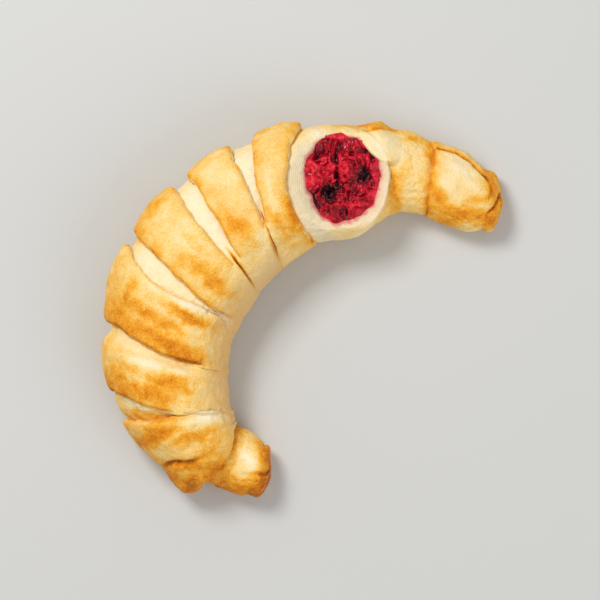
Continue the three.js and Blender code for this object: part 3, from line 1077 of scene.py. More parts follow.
@dataclass
class Opening:
    """The slanting slice, its dished rim and the pocket that holds the filling.

    The rim dips by `dish` within the outer `dish_width` of its radius and by more on its left
    side, which also rises towards the band beside it. A lobe of dough stands on its far left, and
    the cut ends of the rolled layers make ridges in it.
    """

    centre: tuple[float, float] = (15.0, 50.4)
    height: float = 29.6
    tilt: float = 10.0
    pocket_centre: tuple[float, float] = (15.2, 52.3)
    pocket_radii: tuple[float, float] = (15.0, 17.7)
    pocket_depth: float = 6.0
    pocket_wall: tuple[float, float] = (1.02, 0.84)
    rim_radii: tuple[float, float] = (20.6, 24.0)
    dish: float = 1.3
    dish_width: float = 0.25
    steeper_left: float = 0.7
    lobe_centre: tuple[float, float] = (5.0, 69.6)
    lobe_radii: tuple[float, float] = (5.5, 3.2)
    lobe_height: float = 2.4
    left_rise: float = 3.0
    left_rise_ends: tuple[float, float] = (8.5, -1.5)
    ridge_height: float = 0.12
    ridge_turns: float = 46.0
    ridge_waver: float = 4.0
    ridge_ends: tuple[float, float] = (12.0, 2.0)
    roughness: float = 0.25
    lump_size: float = 4.0
    corner_radius: float = 2.2

    def outline(self, angle: Array) -> Array:
        """How far the pocket's ragged edge lies from its centre.

        Args:
            angle: direction from the pocket's centre.

        Returns:
            The distance as a share of the pocket's oval.
        """
        lobes = 0.03 * np.sin(3 * angle + 0.6) + 0.025 * np.sin(5 * angle - 1.1)
        nicks = 0.014 * np.sin(11 * angle + 2.0) + 0.012 * np.sin(17 * angle)
        return 1.0 + lobes + nicks

    def reach(self, x: Array, y: Array) -> Array:
        """Distance from the pocket's centre.

        Args:
            x: places along the frame's x.
            y: places along the frame's y.

        Returns:
            The distance as a share of the pocket's ragged outline.
        """
        dx = (x - self.pocket_centre[0]) / self.pocket_radii[0]
        dy = (y - self.pocket_centre[1]) / self.pocket_radii[1]
        return np.hypot(dx, dy) / self.outline(np.arctan2(dy, dx))

    def rim_reach(self, x: Array, y: Array) -> Array:
        """Distance from the rim's centre.

        Args:
            x: places along the frame's x.
            y: places along the frame's y.

        Returns:
            The distance as a share of the rim's outer oval.
        """
        dx = (x - self.centre[0]) / self.rim_radii[0]
        dy = (y - self.centre[1]) / self.rim_radii[1]
        return np.hypot(dx, dy)

    def rim_height(self, x: Array, y: Array) -> Array:
        """Height of the dished rim, outside the pocket.

        Args:
            x: places along the frame's x.
            y: places along the frame's y.

        Returns:
            One height for each place.
        """
        plane = self.height - (x - self.centre[0]) * math.tan(math.radians(self.tilt))
        inward = (1.0 - self.rim_reach(x, y)).clip(0.0, 1.0)
        leftness = smoothstep(-(x - self.centre[0]) / self.rim_radii[0], 0.0, 0.9)
        fall = self.dish * (1.0 + self.steeper_left * leftness)
        lobe_x = (x - self.lobe_centre[0]) / self.lobe_radii[0]
        lobe_y = (y - self.lobe_centre[1]) / self.lobe_radii[1]
        lobe = self.lobe_height * np.exp(-(np.hypot(lobe_x, lobe_y) ** 2))
        slope = self.left_rise * smoothstep(x, *self.left_rise_ends)
        return plane + lobe + slope - fall * (inward / self.dish_width).clip(0, 1.3)

    def sliced_height(self, points: Array, noise: SmoothNoise) -> tuple[Array, Array]:
        """Height of the rim with the ridges of its layers and its small lumps.

        Args:
            points: array whose last axis is x, y, z.
            noise: the roll's noise.

        Returns:
            The height, and how much each point lies on the rim's left side.
        """
        x, y = points[..., 0], points[..., 1]
        waver = self.ridge_waver * noise.sample(points, self.lump_size)
        ridges = self.ridge_height * np.sin(self.ridge_turns * self.rim_reach(x, y) + waver)
        leftness = smoothstep(x, *self.ridge_ends)
        lumps = self.roughness * noise.sample(points + 5, self.lump_size)
        return self.rim_height(x, y) + ridges * leftness + lumps, leftness


@dataclass(frozen=True)
class Pillow:
    """Dough of the neighbouring band that swells over the far side of the ring.

    Its bed is `near_height` high on the ring's side and falls by `slope` for each millimetre away
    from there, and its oval's strength is the height of its crown. It raises nothing by more than
    `most`. Under it the rows are evened out, in `evening_rounds` rounds.
    """

    oval: Mark = Mark(30.8, 66.8, 10.5, 6.6, -45, 1.3)
    near_height: float = 27.7
    slope: float = 0.46
    most: float = 6.0
    evening_ends: tuple[float, float] = (1.3, 0.8)
    evening_rounds: int = 24
    evening_pull: float = 0.7

    def even_out(self, points: Array) -> None:
        """Space the rows evenly in plan under the pillow.

        Args:
            points: points of the skin, changed in place.
        """
        weight = smoothstep(mark_reach(points, self.oval), *self.evening_ends)
        plan = points[..., :2]
        for _ in range(self.evening_rounds):
            pull = (plan[:-2] + plan[2:]) / 2 - plan[1:-1]
            plan[1:-1] += self.evening_pull * weight[1:-1, :, None] * pull

    def surface(self, points: Array) -> tuple[Array, Array]:
        """Where the pillow is and how high it stands, with a sharp edge on the ring's side.

        Args:
            points: points of the skin.

        Returns:
            How far each point belongs to the pillow, and the height of its surface there.
        """
        reach = mark_reach(points, self.oval)
        turn = math.radians(self.oval.turn)
        dx, dy = points[..., 0] - self.oval.x, points[..., 1] - self.oval.y
        away = dy * math.cos(turn) - dx * math.sin(turn)
        ring_side = smoothstep(away, 1.0, -3.0)
        sharp, soft = smoothstep(reach, 1.04, 0.9), smoothstep(reach, 1.4, 0.2)
        crown = self.oval.strength * (1 - reach**2).clip(0, 1)
        height = self.near_height - self.slope * (away + self.oval.width) + crown
        return soft + (sharp - soft) * ring_side, height


@dataclass(frozen=True)
class CrustRelief:
    """Heights and sizes of the lumps, folds, wrinkles and crumpled patches of the crust."""

    lump_height: float = 0.62
    lump_size: float = 17.0
    small_lump_height: float = 0.34
    small_lump_size: float = 5.5
    fold_height: float = 0.2
    fold_size: tuple[float, float, float] = (7.0, 7.0, 9.0)
    wrinkle_height: float = 0.11
    wrinkle_size: float = 1.9
    crumple_height: float = 0.6
    crumple_size: float = 3.0
    crumple_of_recess: float = 0.3

    def height(self, points: Array, band: Array, noise: SmoothNoise) -> Array:
        """Height of the relief.

        Args:
            points: points of the skin.
            band: whether the row lies on a band.
            noise: the roll's noise.

        Returns:
            One height for each point.
        """
        small_lumps = self.small_lump_height * noise.fractal(points + 50, self.small_lump_size, 2)
        lumps = self.lump_height * noise.fractal(points, self.lump_size, 2) + small_lumps
        folds = 1 - np.abs(noise.sample(points + 90, self.fold_size)) * 3
        fine = self.wrinkle_height * noise.fractal(points + 70, self.wrinkle_size, 2)
        wrinkles = self.fold_height * folds.clip(0, 1) + fine
        crumpled = mark_strength(points, CRUMPLED_MARKS) + self.crumple_of_recess * ~band[:, None]
        ridges = 1 - np.abs(noise.fractal(points + 30, self.crumple_size, 2)) * 2.5
        return lumps + wrinkles + crumpled * self.crumple_height * ridges


@dataclass(frozen=True)
class Toasting:
    """How strongly the oven toasts the lips, the outside, the underside and the marks.

    The marks are pushed about by `sway`, streaked and widened by `mark_spread`. The sum levels
    off towards `full`, the faster the higher `eagerness` is.
    """

    lip_width: float = 2.2
    outside: float = 0.26
    underside: float = 0.35
    drift: float = 0.18
    drift_size: float = 15.0
    patch_size: float = 7.0
    sway: float = 1.6
    sway_size: float = 5.0
    streak: float = 0.4
    streak_size: float = 3.2
    mark_spread: float = 1.38
    mark_strength: float = 1.35
    full: float = 1.08
    eagerness: float = 1.4


@dataclass(frozen=True)
class JuiceStain:
    """How fruit juice soaks into the cut dough: a fuzzy line by the pocket and a wash on the right."""

    fuzz: float = 0.06
    fuzz_size: float = 1.8
    line_ends: tuple[float, float] = (1.13, 1.0)
    line_strength: float = 0.8
    wash_ends: tuple[float, float] = (1.3, 1.0)
    wash_right: tuple[float, float] = (2.0, 13.0)
    wash_strength: float = 0.28


@dataclass
class SkinRows:
    """The rows of the skin: distance, lift and groove for each column, and whose dough it is."""

    at_edge: list[Array]
    distance: list[Array] = field(default_factory=list)
    lift: list[Array] = field(default_factory=list)
    groove: list[Array] = field(default_factory=list)
    bake: list[Array] = field(default_factory=list)
    owner: list[int] = field(default_factory=list)

    def add(self, owner: int, distance: Array, lift: Array, groove: Array, bake: Array) -> None:
        """Add one row.

        Args:
            owner: number of the stretch that the row lies on.
            distance: distance along the roll.
            lift: height above the inner layer, before the swell of the band's middle.
            groove: depth of the groove.
            bake: how far the dough is baked.
        """
        start, end = self.at_edge[owner], self.at_edge[owner + 1]
        share = ((distance - start) / (end - start)).clip(0, 1)
        self.owner.append(owner)
        self.distance.append(distance)
        self.lift.append(lift * (1 - CROWN * (1 - np.sin(math.pi * share))))
        self.groove.append(groove)
        self.bake.append(bake)

    def extend(self, more: "SkinRows") -> None:
        """Add the rows of another set after these."""
        for name in ("distance", "lift", "groove", "bake", "owner"):
            getattr(self, name).extend(getattr(more, name))


@dataclass
class Roll:
    """The baked roll: its skin, its lips and the masks that its finish reads."""

    opening: Opening
    pillow: Pillow = Pillow()
    relief: CrustRelief = CrustRelief()
    toasting: Toasting = Toasting()
    juice: JuiceStain = JuiceStain()
    columns_top: int = 122
    columns_under: int = 50
    row_pitch: float = 0.80
    waist_share: float = 0.42
    underside_press: float = 1.25
    edge_waver: float = 0.75
    noise: SmoothNoise = field(default_factory=lambda: SmoothNoise(11))
    fit: FrameFit | None = None

    def __post_init__(self) -> None:
        """Lay out the spine, the columns and the places where edges run."""
        self.names = list(EDGES)
        self.edges = list(EDGES.values())
        self.stretches = list(STRETCHES.values())
        self.spine = RollSpine(self.edges)
        top = np.linspace(0, math.pi, self.columns_top, endpoint=False)
        under = np.linspace(math.pi, 2 * math.pi, self.columns_under, endpoint=False)
        self.angles = np.concatenate([top, under])
        self.side = -np.cos(self.angles)
        self.rise = np.sin(self.angles)
        self.at_edge = [self.edge_distance(i) for i in range(len(self.edges))]
        still = np.zeros_like(self.angles)
        rings = [self.place(distance[None], still[None])[0] for distance in self.at_edge]
        pairs = list(zip(rings, rings[1:]))
        self.spans = [after - before for before, after in zip(self.at_edge, self.at_edge[1:])]
        self.widths = [np.linalg.norm(after - before, axis=-1) + 1e-6 for before, after in pairs]

    def place(self, distance: Array, lift: Array) -> Array:
        """Points of the skin.

        Args:
            distance: distance along the roll for each row and column.
            lift: height above the inner layer for each row and column.

        Returns:
            Points, rows by columns by 3.
        """
        values = self.spine.fields(distance)
        outer, inner = values[..., 0:2], values[..., 2:4]
        height, bow, skew, squareness, bluntness = np.moveaxis(values[..., 4:9], -1, 0)
        middle = (outer + inner) / 2
        across = inner - outer
        half_width = np.linalg.norm(across, axis=-1) / 2
        across = across / (2 * half_width[..., None])
        forward = np.stack([-across[..., 1], across[..., 0]], axis=-1)
        side = rounded_power(self.side, 2 / squareness)
        rise = rounded_power(self.rise, 2 / squareness)
        sideways = side * (half_width + lift)
        forwards = (bow + skew * side) * (1 - side**2).clip(1e-6, 1) ** bluntness
        waist = self.waist_share * height
        upper = waist + rise * (height - waist + lift)
        lower = np.maximum(0.0, waist * (1 + self.underside_press * rise))
        plan = middle + across * sideways[..., None] + forward * forwards[..., None]
        return np.concatenate([plan, np.where(rise >= 0, upper, lower)[..., None]], axis=-1)

    def edge_distance(self, i: int) -> Array:
        """Distance along the roll of an edge, wavering a little from column to column.

        Args:
            i: number of the edge.

        Returns:
            One distance for each column.
        """
        along = self.spine.along
        if i in (0, 1, len(along) - 2, len(along) - 1):
            return np.full(self.angles.shape, along[i])
        ring = np.stack([self.side, self.rise, np.full_like(self.angles, 3.7 * i)], -1)
        narrow = min(along[i + 1] - along[i], along[i] - along[i - 1])
        amount = min(self.edge_waver, 0.12 * narrow)
        return along[i] + amount * self.noise.fractal(ring, 0.45, 2)

    def stretch_lift(self, i: int, share: float = 0.5) -> Array:
        """Lift of a stretch; where a recess closes it joins its bands.

        Args:
            i: number of the stretch.
            share: place along the stretch, from 0 to 1.

        Returns:
            One lift for each column.
        """
        stretch = self.stretches[i]
        if stretch.dough is not Dough.RECESS or stretch.closes > 1:
            inside = smoothstep(self.side, 0.2, 1.0)
            own = stretch.lift * (1 - (1 - stretch.inner_lift_share) * inside)
            if self.names[i + 1] in PLAIN_JOINS and stretch.dough is Dough.BAND:
                return own + share * (self.stretch_lift(i + 1, 0.0) - own)
            return own
        beside = (1 - share) * self.stretch_lift(i - 1, 1.0) + share * self.stretch_lift(i + 1, 0.0)
        closed = smoothstep(self.side, stretch.closes - 0.16, stretch.closes + 0.16)
        return beside * closed

    def stretch_bake(self, i: int) -> Array:
        """How far a stretch is baked.

        Args:
            i: number of the stretch.

        Returns:
            One value for each column.
        """
        stretch = self.stretches[i]
        if stretch.dough is not Dough.RECESS or stretch.closes > 1:
            return np.full_like(self.angles, stretch.bake)
        beside = (self.stretches[i - 1].bake + self.stretches[i + 1].bake) / 2
        closed = smoothstep(self.side, stretch.closes - 0.1, stretch.closes + 0.1)
        return stretch.bake + (beside - stretch.bake) * closed

    def lip_profile(self, i: int) -> list[tuple[float, float, float, float]]:
        """Shape across an edge.

        Args:
            i: number of the edge.

        Returns:
            Rows of offset, share of the lift before it and after it, and depth of the groove.
        """
        before, after = self.stretches[i - 1], self.stretches[i]
        if self.names[i] in PLAIN_JOINS:
            return [(0.0, 0.5, 0.5, 0.0)]
        if self.names[i] in SOFT_EDGES:
            return [(-offset, near, far, dip) for offset, near, far, dip in reversed(SOFT_PROFILE)]
        if before.dough is Dough.BAND and after.dough is Dough.BAND:
            return list(CREASE_PROFILE)
        if before.dough is Dough.BAND:
            return [(offset, share, 1 - share, dip) for offset, share, dip in STEP_PROFILE]
        if after.dough is Dough.BAND:
            return [(-offset, 1 - share, share, dip) for offset, share, dip in reversed(STEP_PROFILE)]
        return [(0.0, 0.5, 0.5, 0.0)]

    def add_lip(self, rows: SkinRows, i: int) -> None:
        """Add the rows that cross an edge.

        Args:
            rows: where they are added.
            i: number of the edge.
        """
        profile = self.lip_profile(i)
        before, after = self.stretch_lift(i - 1, 1.0), self.stretch_lift(i, 0.0)
        bake_before, bake_after = self.stretch_bake(i - 1), self.stretch_bake(i)
        room_before = np.minimum(1.0, LIP_ROOM_SHARE * self.widths[i - 1] / max(1e-6, -profile[0][0]))
        room_after = np.minimum(1.0, LIP_ROOM_SHARE * self.widths[i] / max(1e-6, profile[-1][0]))
        unfolded = np.maximum(smoothstep(np.abs(before - after), 1.2, 0.4), smoothstep(self.rise, 0.1, -0.35))
        even = np.linspace(profile[0][0], profile[-1][0], len(profile))
        for (offset, near, far, dip), flat_offset in zip(profile, even):
            across = offset + (flat_offset - offset) * unfolded
            on_before = across * room_before * self.spans[i - 1] / self.widths[i - 1]
            on_after = across * room_after * self.spans[i] / self.widths[i]
            distance = self.at_edge[i] + np.where(across < 0, on_before, on_after)
            groove = dip * np.minimum(room_before, room_after) * (1 - unfolded)
            bake = bake_before + (bake_after - bake_before) * smoothstep(np.array(far), 0.3, 0.8)
            rows.add(i - 1 if offset < 0 else i, distance, near * before + far * after, groove, bake)

    def plan_rows(self) -> SkinRows:
        """Lay out every row of the skin, from the tail to the tip.

        Returns:
            The rows.
        """
        last = len(self.edges) - 1
        rows = SkinRows(self.at_edge)
        still = np.zeros_like(self.angles)
        rows.add(0, self.at_edge[0] + POLE_MARGIN * self.spans[0], still, still, self.stretch_bake(0))
        for i in range(1, last + 1):
            lip = SkinRows(self.at_edge)
            if i < last:
                self.add_lip(lip, i)
                start = lip.distance[0]
            else:
                start = self.at_edge[i] - POLE_MARGIN * self.spans[i - 1]
            reached = rows.distance[-1]
            gap = np.max((start - reached) / self.spans[i - 1] * self.widths[i - 1])
            steps = max(POLE_ROWS if i in (1, last) else 2, int(round(gap / self.row_pitch)))
            for k in range(1, steps + (i == last)):
                distance = reached + (start - reached) * k / steps
                lift = self.stretch_lift(i - 1, k / steps)
                rows.add(i - 1, distance, lift, still, self.stretch_bake(i - 1))
            rows.extend(lip)
        return rows

    def owned(self, values: list, rows: SkinRows) -> Array:
        """Values of each row's own stretch, from those of every stretch or edge."""
        return np.array(values)[np.array(rows.owner)]

    def crack_depth(self, distance: Array) -> Array:
        """Depth of the cracks that run on where a recess has closed.

        Args:
            distance: distance along the roll for each row and column.

        Returns:
            One depth for each point.
        """
        depth = np.zeros_like(distance)
        for i, stretch in enumerate(self.stretches):
            if stretch.crack == 0:
                continue
            share = (distance - self.at_edge[i]) / self.spans[i]
            line = np.exp(-(((share - 0.5) * self.widths[i] / CRACK_WIDTH) ** 2))
            reach = smoothstep(self.side, stretch.closes - 0.25, stretch.closes + 0.1)
            depth += stretch.crack * line * reach * smoothstep(self.side, 0.97, 0.75)
        return depth * (self.rise > 0)

    def open_cup(self, points: Array, rows: SkinRows) -> Array:
        """Slice the cup, hollow out its pocket and lay the pillow over the ring's far side.

        Args:
            points: points of the skin, changed in place.
            rows: the rows they belong to.

        Returns:
            How far each point lies on the cut dough, from 0 to 1.
        """
        opening = self.opening
        self.pillow.even_out(points)
        x, y, z = points[..., 0], points[..., 1], points[..., 2]
        first = self.names.index("band_7_end")
        end = self.names.index("ring_foot")
        far_enough = np.array(rows.distance) > self.at_edge[first] + 0.05
        before_tip = np.array(rows.distance) < self.at_edge[end]
        opened = far_enough & before_tip & (self.rise > 0.02)
        rim, leftness = opening.sliced_height(points, self.noise)
        hollow = opening.pocket_depth * smoothstep(opening.reach(x, y), *opening.pocket_wall)
        was = z.copy()
        base = np.where(opened, smooth_min(z, rim, opening.corner_radius) - hollow, z)
        pillow, pillow_height = self.pillow.surface(points)
        raised = pillow * (pillow_height - base).clip(0, self.pillow.most)
        points[..., 2] = base + raised * (self.rise > 0.25)
        reach = opening.rim_reach(x, y)
        skin_edge = smoothstep(reach, 1.0, 0.88 + 0.1 * leftness)
        sliced = smoothstep(was - rim, -0.5, 0.6) * (0.35 + 0.65 * skin_edge)
        left_side = smoothstep(reach, 1.12, 1.0) * smoothstep(x, 14.0, 8.0) * smoothstep(y, 70.0, 64.0)
        return np.where(opened, np.maximum(sliced, left_side) * (1 - pillow), 0.0)

    def build(self, material: bpy.types.Material) -> bpy.types.Object:
        """Build the roll's mesh, its masks and its finish.

        Args:
            material: finish of the baked dough.

        Returns:
            The piece.
        """
        rows = self.plan_rows()
        distance, lift = np.array(rows.distance), np.array(rows.lift)
        share = ((distance - self.owned(self.at_edge, rows)) / self.owned(self.spans, rows)).clip(0, 1)
        width = self.owned(self.widths, rows)
        band = self.owned([stretch.dough is Dough.BAND for stretch in self.stretches], rows)
        points = self.place(distance, lift)
        on_top = smoothstep(points[..., 2], 0.3, 4.0)
        normals = grid_normals(points)
        crack = self.crack_depth(distance)
        groove = np.array(rows.groove) + crack
        # Cracks are darkened, partly as painted shade in them.
        scorch_and_shade = CRACK_SCORCH_AND_SHADE * crack
        for crease in CREASES:
            away, share_along = crease_distance(points, crease)
            fade = smoothstep(share_along, 1.0, 0.72) * smoothstep(self.rise, 0.1, 0.4)
            closeness = np.exp(-((away / crease.width) ** 2)) * fade
            groove = groove + crease.depth * closeness
            scorch_and_shade = np.maximum(scorch_and_shade, crease.scorch_and_shade * closeness)
        swell = sum(bulge.height_at(points) for bulge in BULGES)
        uneven = self.relief.height(points, band, self.noise)
        points = points + normals * ((swell + uneven - groove) * on_top)[..., None]
        cut = self.open_cup(points, rows)
        points[..., 2] = points[..., 2].clip(0.0, None)
        toast_and_shade = self.toast_and_shade(points, rows, share * width, (1 - share) * width, band)
        starts = self.owned([stretch.browning_and_shade[0] for stretch in self.stretches], rows)
        thin_line = np.exp(-share * width / LIP_LINE_WIDTH)
        # The dark line under each lip is partly burning and partly painted shade.
        lip_line = LIP_LINE_SCORCH_AND_SHADE * starts[:, None] * thin_line * self.open_lips(rows)[0]
        scorch_and_shade = np.maximum(scorch_and_shade, lip_line * smoothstep(self.rise, 0.0, 0.3))
        # Cream dough and painted highlights, which lower the bake and the toasting.
        cream = mark_strength(points, CREAM_AND_HIGHLIGHT_MARKS)
        masks = {
            "bake": (np.array(rows.bake) * (1 - cream.clip(0, 1))).clip(0, 1),
            "toast_and_shade": toast_and_shade.clip(-0.4, 1.2) * (1 - 0.8 * cream.clip(0, 1)),
            "scorch_and_shade": scorch_and_shade,
            # The inner side's tan, partly painted shade.
            "tan": self.tan(rows),
            "stain": self.stain(points, cut),
            "cut": cut,
            "layers": cut * smoothstep(points[..., 0], 13.0, 3.0) * smoothstep(points[..., 1], 33.0, 43.0),
            "reach": self.opening.rim_reach(points[..., 0], points[..., 1]),
        }
        self.fit = FrameFit.onto(points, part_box("pastry"))
        ends = (points[0].mean(0), points[-1].mean(0))
        piece = closed_grid_object("baked_roll", points, ends, self.fit)
        for name, values in masks.items():
            write_mask(piece, name, values)
        piece.data.materials.append(material)
        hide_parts("pastry")
        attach(piece, ROOT_BODY)
        log.info("baked roll: %d rows of %d points", *points.shape[:2])
        return piece

    def toast_and_shade(self, points: Array, rows: SkinRows, from_start: Array, to_end: Array, band: Array) -> Array:
        """How much toasting each point has, partly painted shade: by the edges of the bands, on the outside
        and in marks.

        Args:
            points: points of the skin.
            rows: the rows they belong to.
            from_start: distance from the start of the point's stretch.
            to_end: distance to the end of the point's stretch.
            band: whether the row lies on a band.

        Returns:
            One value for each point.
        """
        oven, noise = self.toasting, self.noise
        browning_and_shade = self.owned([stretch.browning_and_shade for stretch in self.stretches], rows)
        open_start, open_end = self.open_lips(rows)
        near_start = browning_and_shade[:, :1] * open_start * np.exp(-from_start / oven.lip_width)
        near_end = browning_and_shade[:, 1:] * open_end * np.exp(-to_end / oven.lip_width)
        edges = np.maximum(near_start, near_end)
        uneven = 0.75 + 0.9 * noise.fractal(points + 11, oven.patch_size, 2)
        outside = oven.outside * smoothstep(self.side, -0.72, -0.97) * smoothstep(self.rise, -0.2, 0.1)
        base = oven.underside * smoothstep(self.rise, -0.05, -0.5)
        drift = oven.drift * noise.fractal(points + 23, oven.drift_size, 3)
        pushes = [noise.fractal(points + shift, oven.sway_size, 2) for shift in (61, 83, 97)]
        sway = oven.sway * np.stack(pushes, axis=-1)
        streaks = (1.0 + oven.streak * noise.fractal(points + 41, oven.streak_size, 3)).clip(0.45, 1.3)
        marks = mark_strength(points + sway, TOAST_AND_SHADE_MARKS, oven.mark_spread) * streaks * (self.rise > -0.3)
        total = (edges + outside) * uneven.clip(0.1, 1.4) + drift * band[:, None] + base
        total = total + oven.mark_strength * marks
        return np.where(total > 0, oven.full * (1 - np.exp(-oven.eagerness * total)), total)

    def open_lips(self, rows: SkinRows) -> tuple[Array, Array]:
        """How far the lips of each row's stretch stand open.

        Args:
            rows: the rows of the skin.

        Returns:
            The lips at the start of the stretch, and those at its end.
        """
        count = len(self.stretches)
        steps = [np.abs(self.stretch_lift(i, 1.0) - self.stretch_lift(i + 1, 0.0)) for i in range(count - 1)]
        still = np.zeros_like(self.angles)
        opened = [still, *(smoothstep(step, 0.4, 1.2) for step in steps), still]
        return self.owned(opened[:-1], rows), self.owned(opened[1:], rows)

    def tan(self, rows: SkinRows) -> Array:
        """How much each point is the even tan of the crescent's inner side, partly real baking and partly
        painted shade on the side turned from the light.

        Args:
            rows: the rows of the skin.

        Returns:
            One value for each point.
        """
        distance = np.array(rows.distance)
        start = self.spine.along[self.names.index("sleeve_mouth")]
        end = self.spine.along[self.names.index("band_7_start")]
        along = smoothstep(distance, start, start + 8) * smoothstep(distance, end + 6, end - 6)
        return 0.75 * along * smoothstep(self.side, 0.45, 0.98)

    def stain(self, points: Array, cut: Array) -> Array:
        """How much fruit juice has soaked into the cut dough.

        Args:
            points: points of the skin.
            cut: how far each point lies on the cut dough.

        Returns:
            One value for each point.
        """
        juice = self.juice
        x, y = points[..., 0], points[..., 1]
        reach = self.opening.reach(x, y)
        fuzzy = juice.fuzz * self.noise.fractal(points + 3, juice.fuzz_size, 2)
        near = smoothstep(reach + fuzzy, *juice.line_ends)
        rightness = smoothstep(x - self.opening.pocket_centre[0], *juice.wash_right)
        wash = juice.wash_strength * rightness * smoothstep(reach, *juice.wash_ends)
        return cut * np.maximum(juice.line_strength * near, wash)


# ------------------------------------------------------------------ the filling


# Folds, shreds and threads of the cherries' skins: (shift of the noise, sizes, height).
CHERRY_FOLDS = (
    (0, (5.4, 6.6, 9.0), 2.6),
    (15, (2.8, 3.4, 5.0), 2.4),
    (33, (1.3, 1.6, 2.0), 1.1),
)


@dataclass
class CherryFilling:
    """Cooked cherries heaped in the pocket, with folded skins, and hollows that are sunk and painted dark as
    shade.

    The heap is `overlap` times as wide as the pocket, and its edge lies `sunk` below the rim.
    Its three tone numbers turn its relief into how bright its skins are: lighter on the crests and darker in
    the hollows, as painted light and shade.
    """

    opening: Opening
    fit: FrameFit
    rings_top: int = 84
    rings_under: int = 10
    columns: int = 250
    crown: float = 1.7
    depth: float = 5.0
    overlap: float = 1.012
    sunk: float = 0.35
    hollow_depth: float = 3.0
    lump_height: float = 1.7
    lump_size: float = 8.5
    sway: float = 2.0
    sway_size: float = 8.0
    relief_middle: float = 1.45
    tone: float = 0.63
    painted_shade_of_relief: float = 0.21
    painted_shade_of_hollow: float = 0.9
    noise: SmoothNoise = field(default_factory=lambda: SmoothNoise(29))

    def relief(self, x: Array, y: Array) -> Array:
        """Height of the lumps, folds, shreds and threads.

        Args:
            x: places along the frame's x.
            y: places along the frame's y.

        Returns:
            One height for each place.
        """
        spot = np.stack([x, y, np.zeros_like(x)], axis=-1)
        pushes = [self.noise.sample(spot + shift, self.sway_size) for shift in (40, 60)]
        sway = self.sway * np.stack(pushes, axis=-1)
        bent = spot + np.concatenate([sway, np.zeros_like(x)[..., None]], axis=-1)
        total = self.lump_height * self.noise.sample(spot, self.lump_size)
        for shift, sizes, height in CHERRY_FOLDS:
            total = total + height * np.abs(self.noise.sample(bent + shift, sizes)).clip(0, 0.5)
        return total - self.relief_middle

    def build(self, material: bpy.types.Material) -> bpy.types.Object:
        """Build the heap of cherries.

        Args:
            material: finish of the cherries.

        Returns:
            The piece.
        """
        turn = np.linspace(2 * math.pi, 0, self.columns, endpoint=False)
        top = np.linspace(0.012, 1.0, self.rings_top)
        under = np.linspace(0.0, 1.0, self.rings_under + 2)[1:-1]
        share = np.concatenate([top, 1.0 - under**2 * 0.9])[:, None]
        buried = np.concatenate([np.zeros_like(top), under])[:, None]
        opening = self.opening
        outline = opening.outline(turn)[None] * self.overlap
        x = opening.pocket_centre[0] + share * outline * opening.pocket_radii[0] * np.cos(turn)
        y = opening.pocket_centre[1] + share * outline * opening.pocket_radii[1] * np.sin(turn)
        relief = self.relief(x, y)
        hollow = mark_strength(np.stack([x, y, x], axis=-1), HOLLOW_MARKS)
        edge = smoothstep(share, 1.0, 0.8)
        surface = opening.rim_height(x, y) - self.sunk
        rough = (relief - self.hollow_depth * hollow) * (0.2 + 0.8 * edge)
        heaped = surface + self.crown * (1 - share**2) + rough
        z = np.where(buried > 0, surface - 0.3 - self.depth * buried, heaped)
        # Painted light and shade: brighter where the relief stands high, nearly black in the hollows.
        tone = self.tone + self.painted_shade_of_relief * relief - self.painted_shade_of_hollow * hollow
        rise = tone * (buried == 0)
        points = np.stack([x, y, z], axis=-1)
        ends = (points[0].mean(0), points[-1].mean(0))
        piece = closed_grid_object("cherries", points, ends, self.fit)
        write_mask(piece, "rise", rise.clip(0, 1))
        piece.data.materials.append(material)
        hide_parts("cherry_filling")
        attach(piece, ROOT_BODY)
        log.info("cherries: %d points", points.shape[0] * points.shape[1])
        return piece


# ------------------------------------------------------------------ scattered pieces


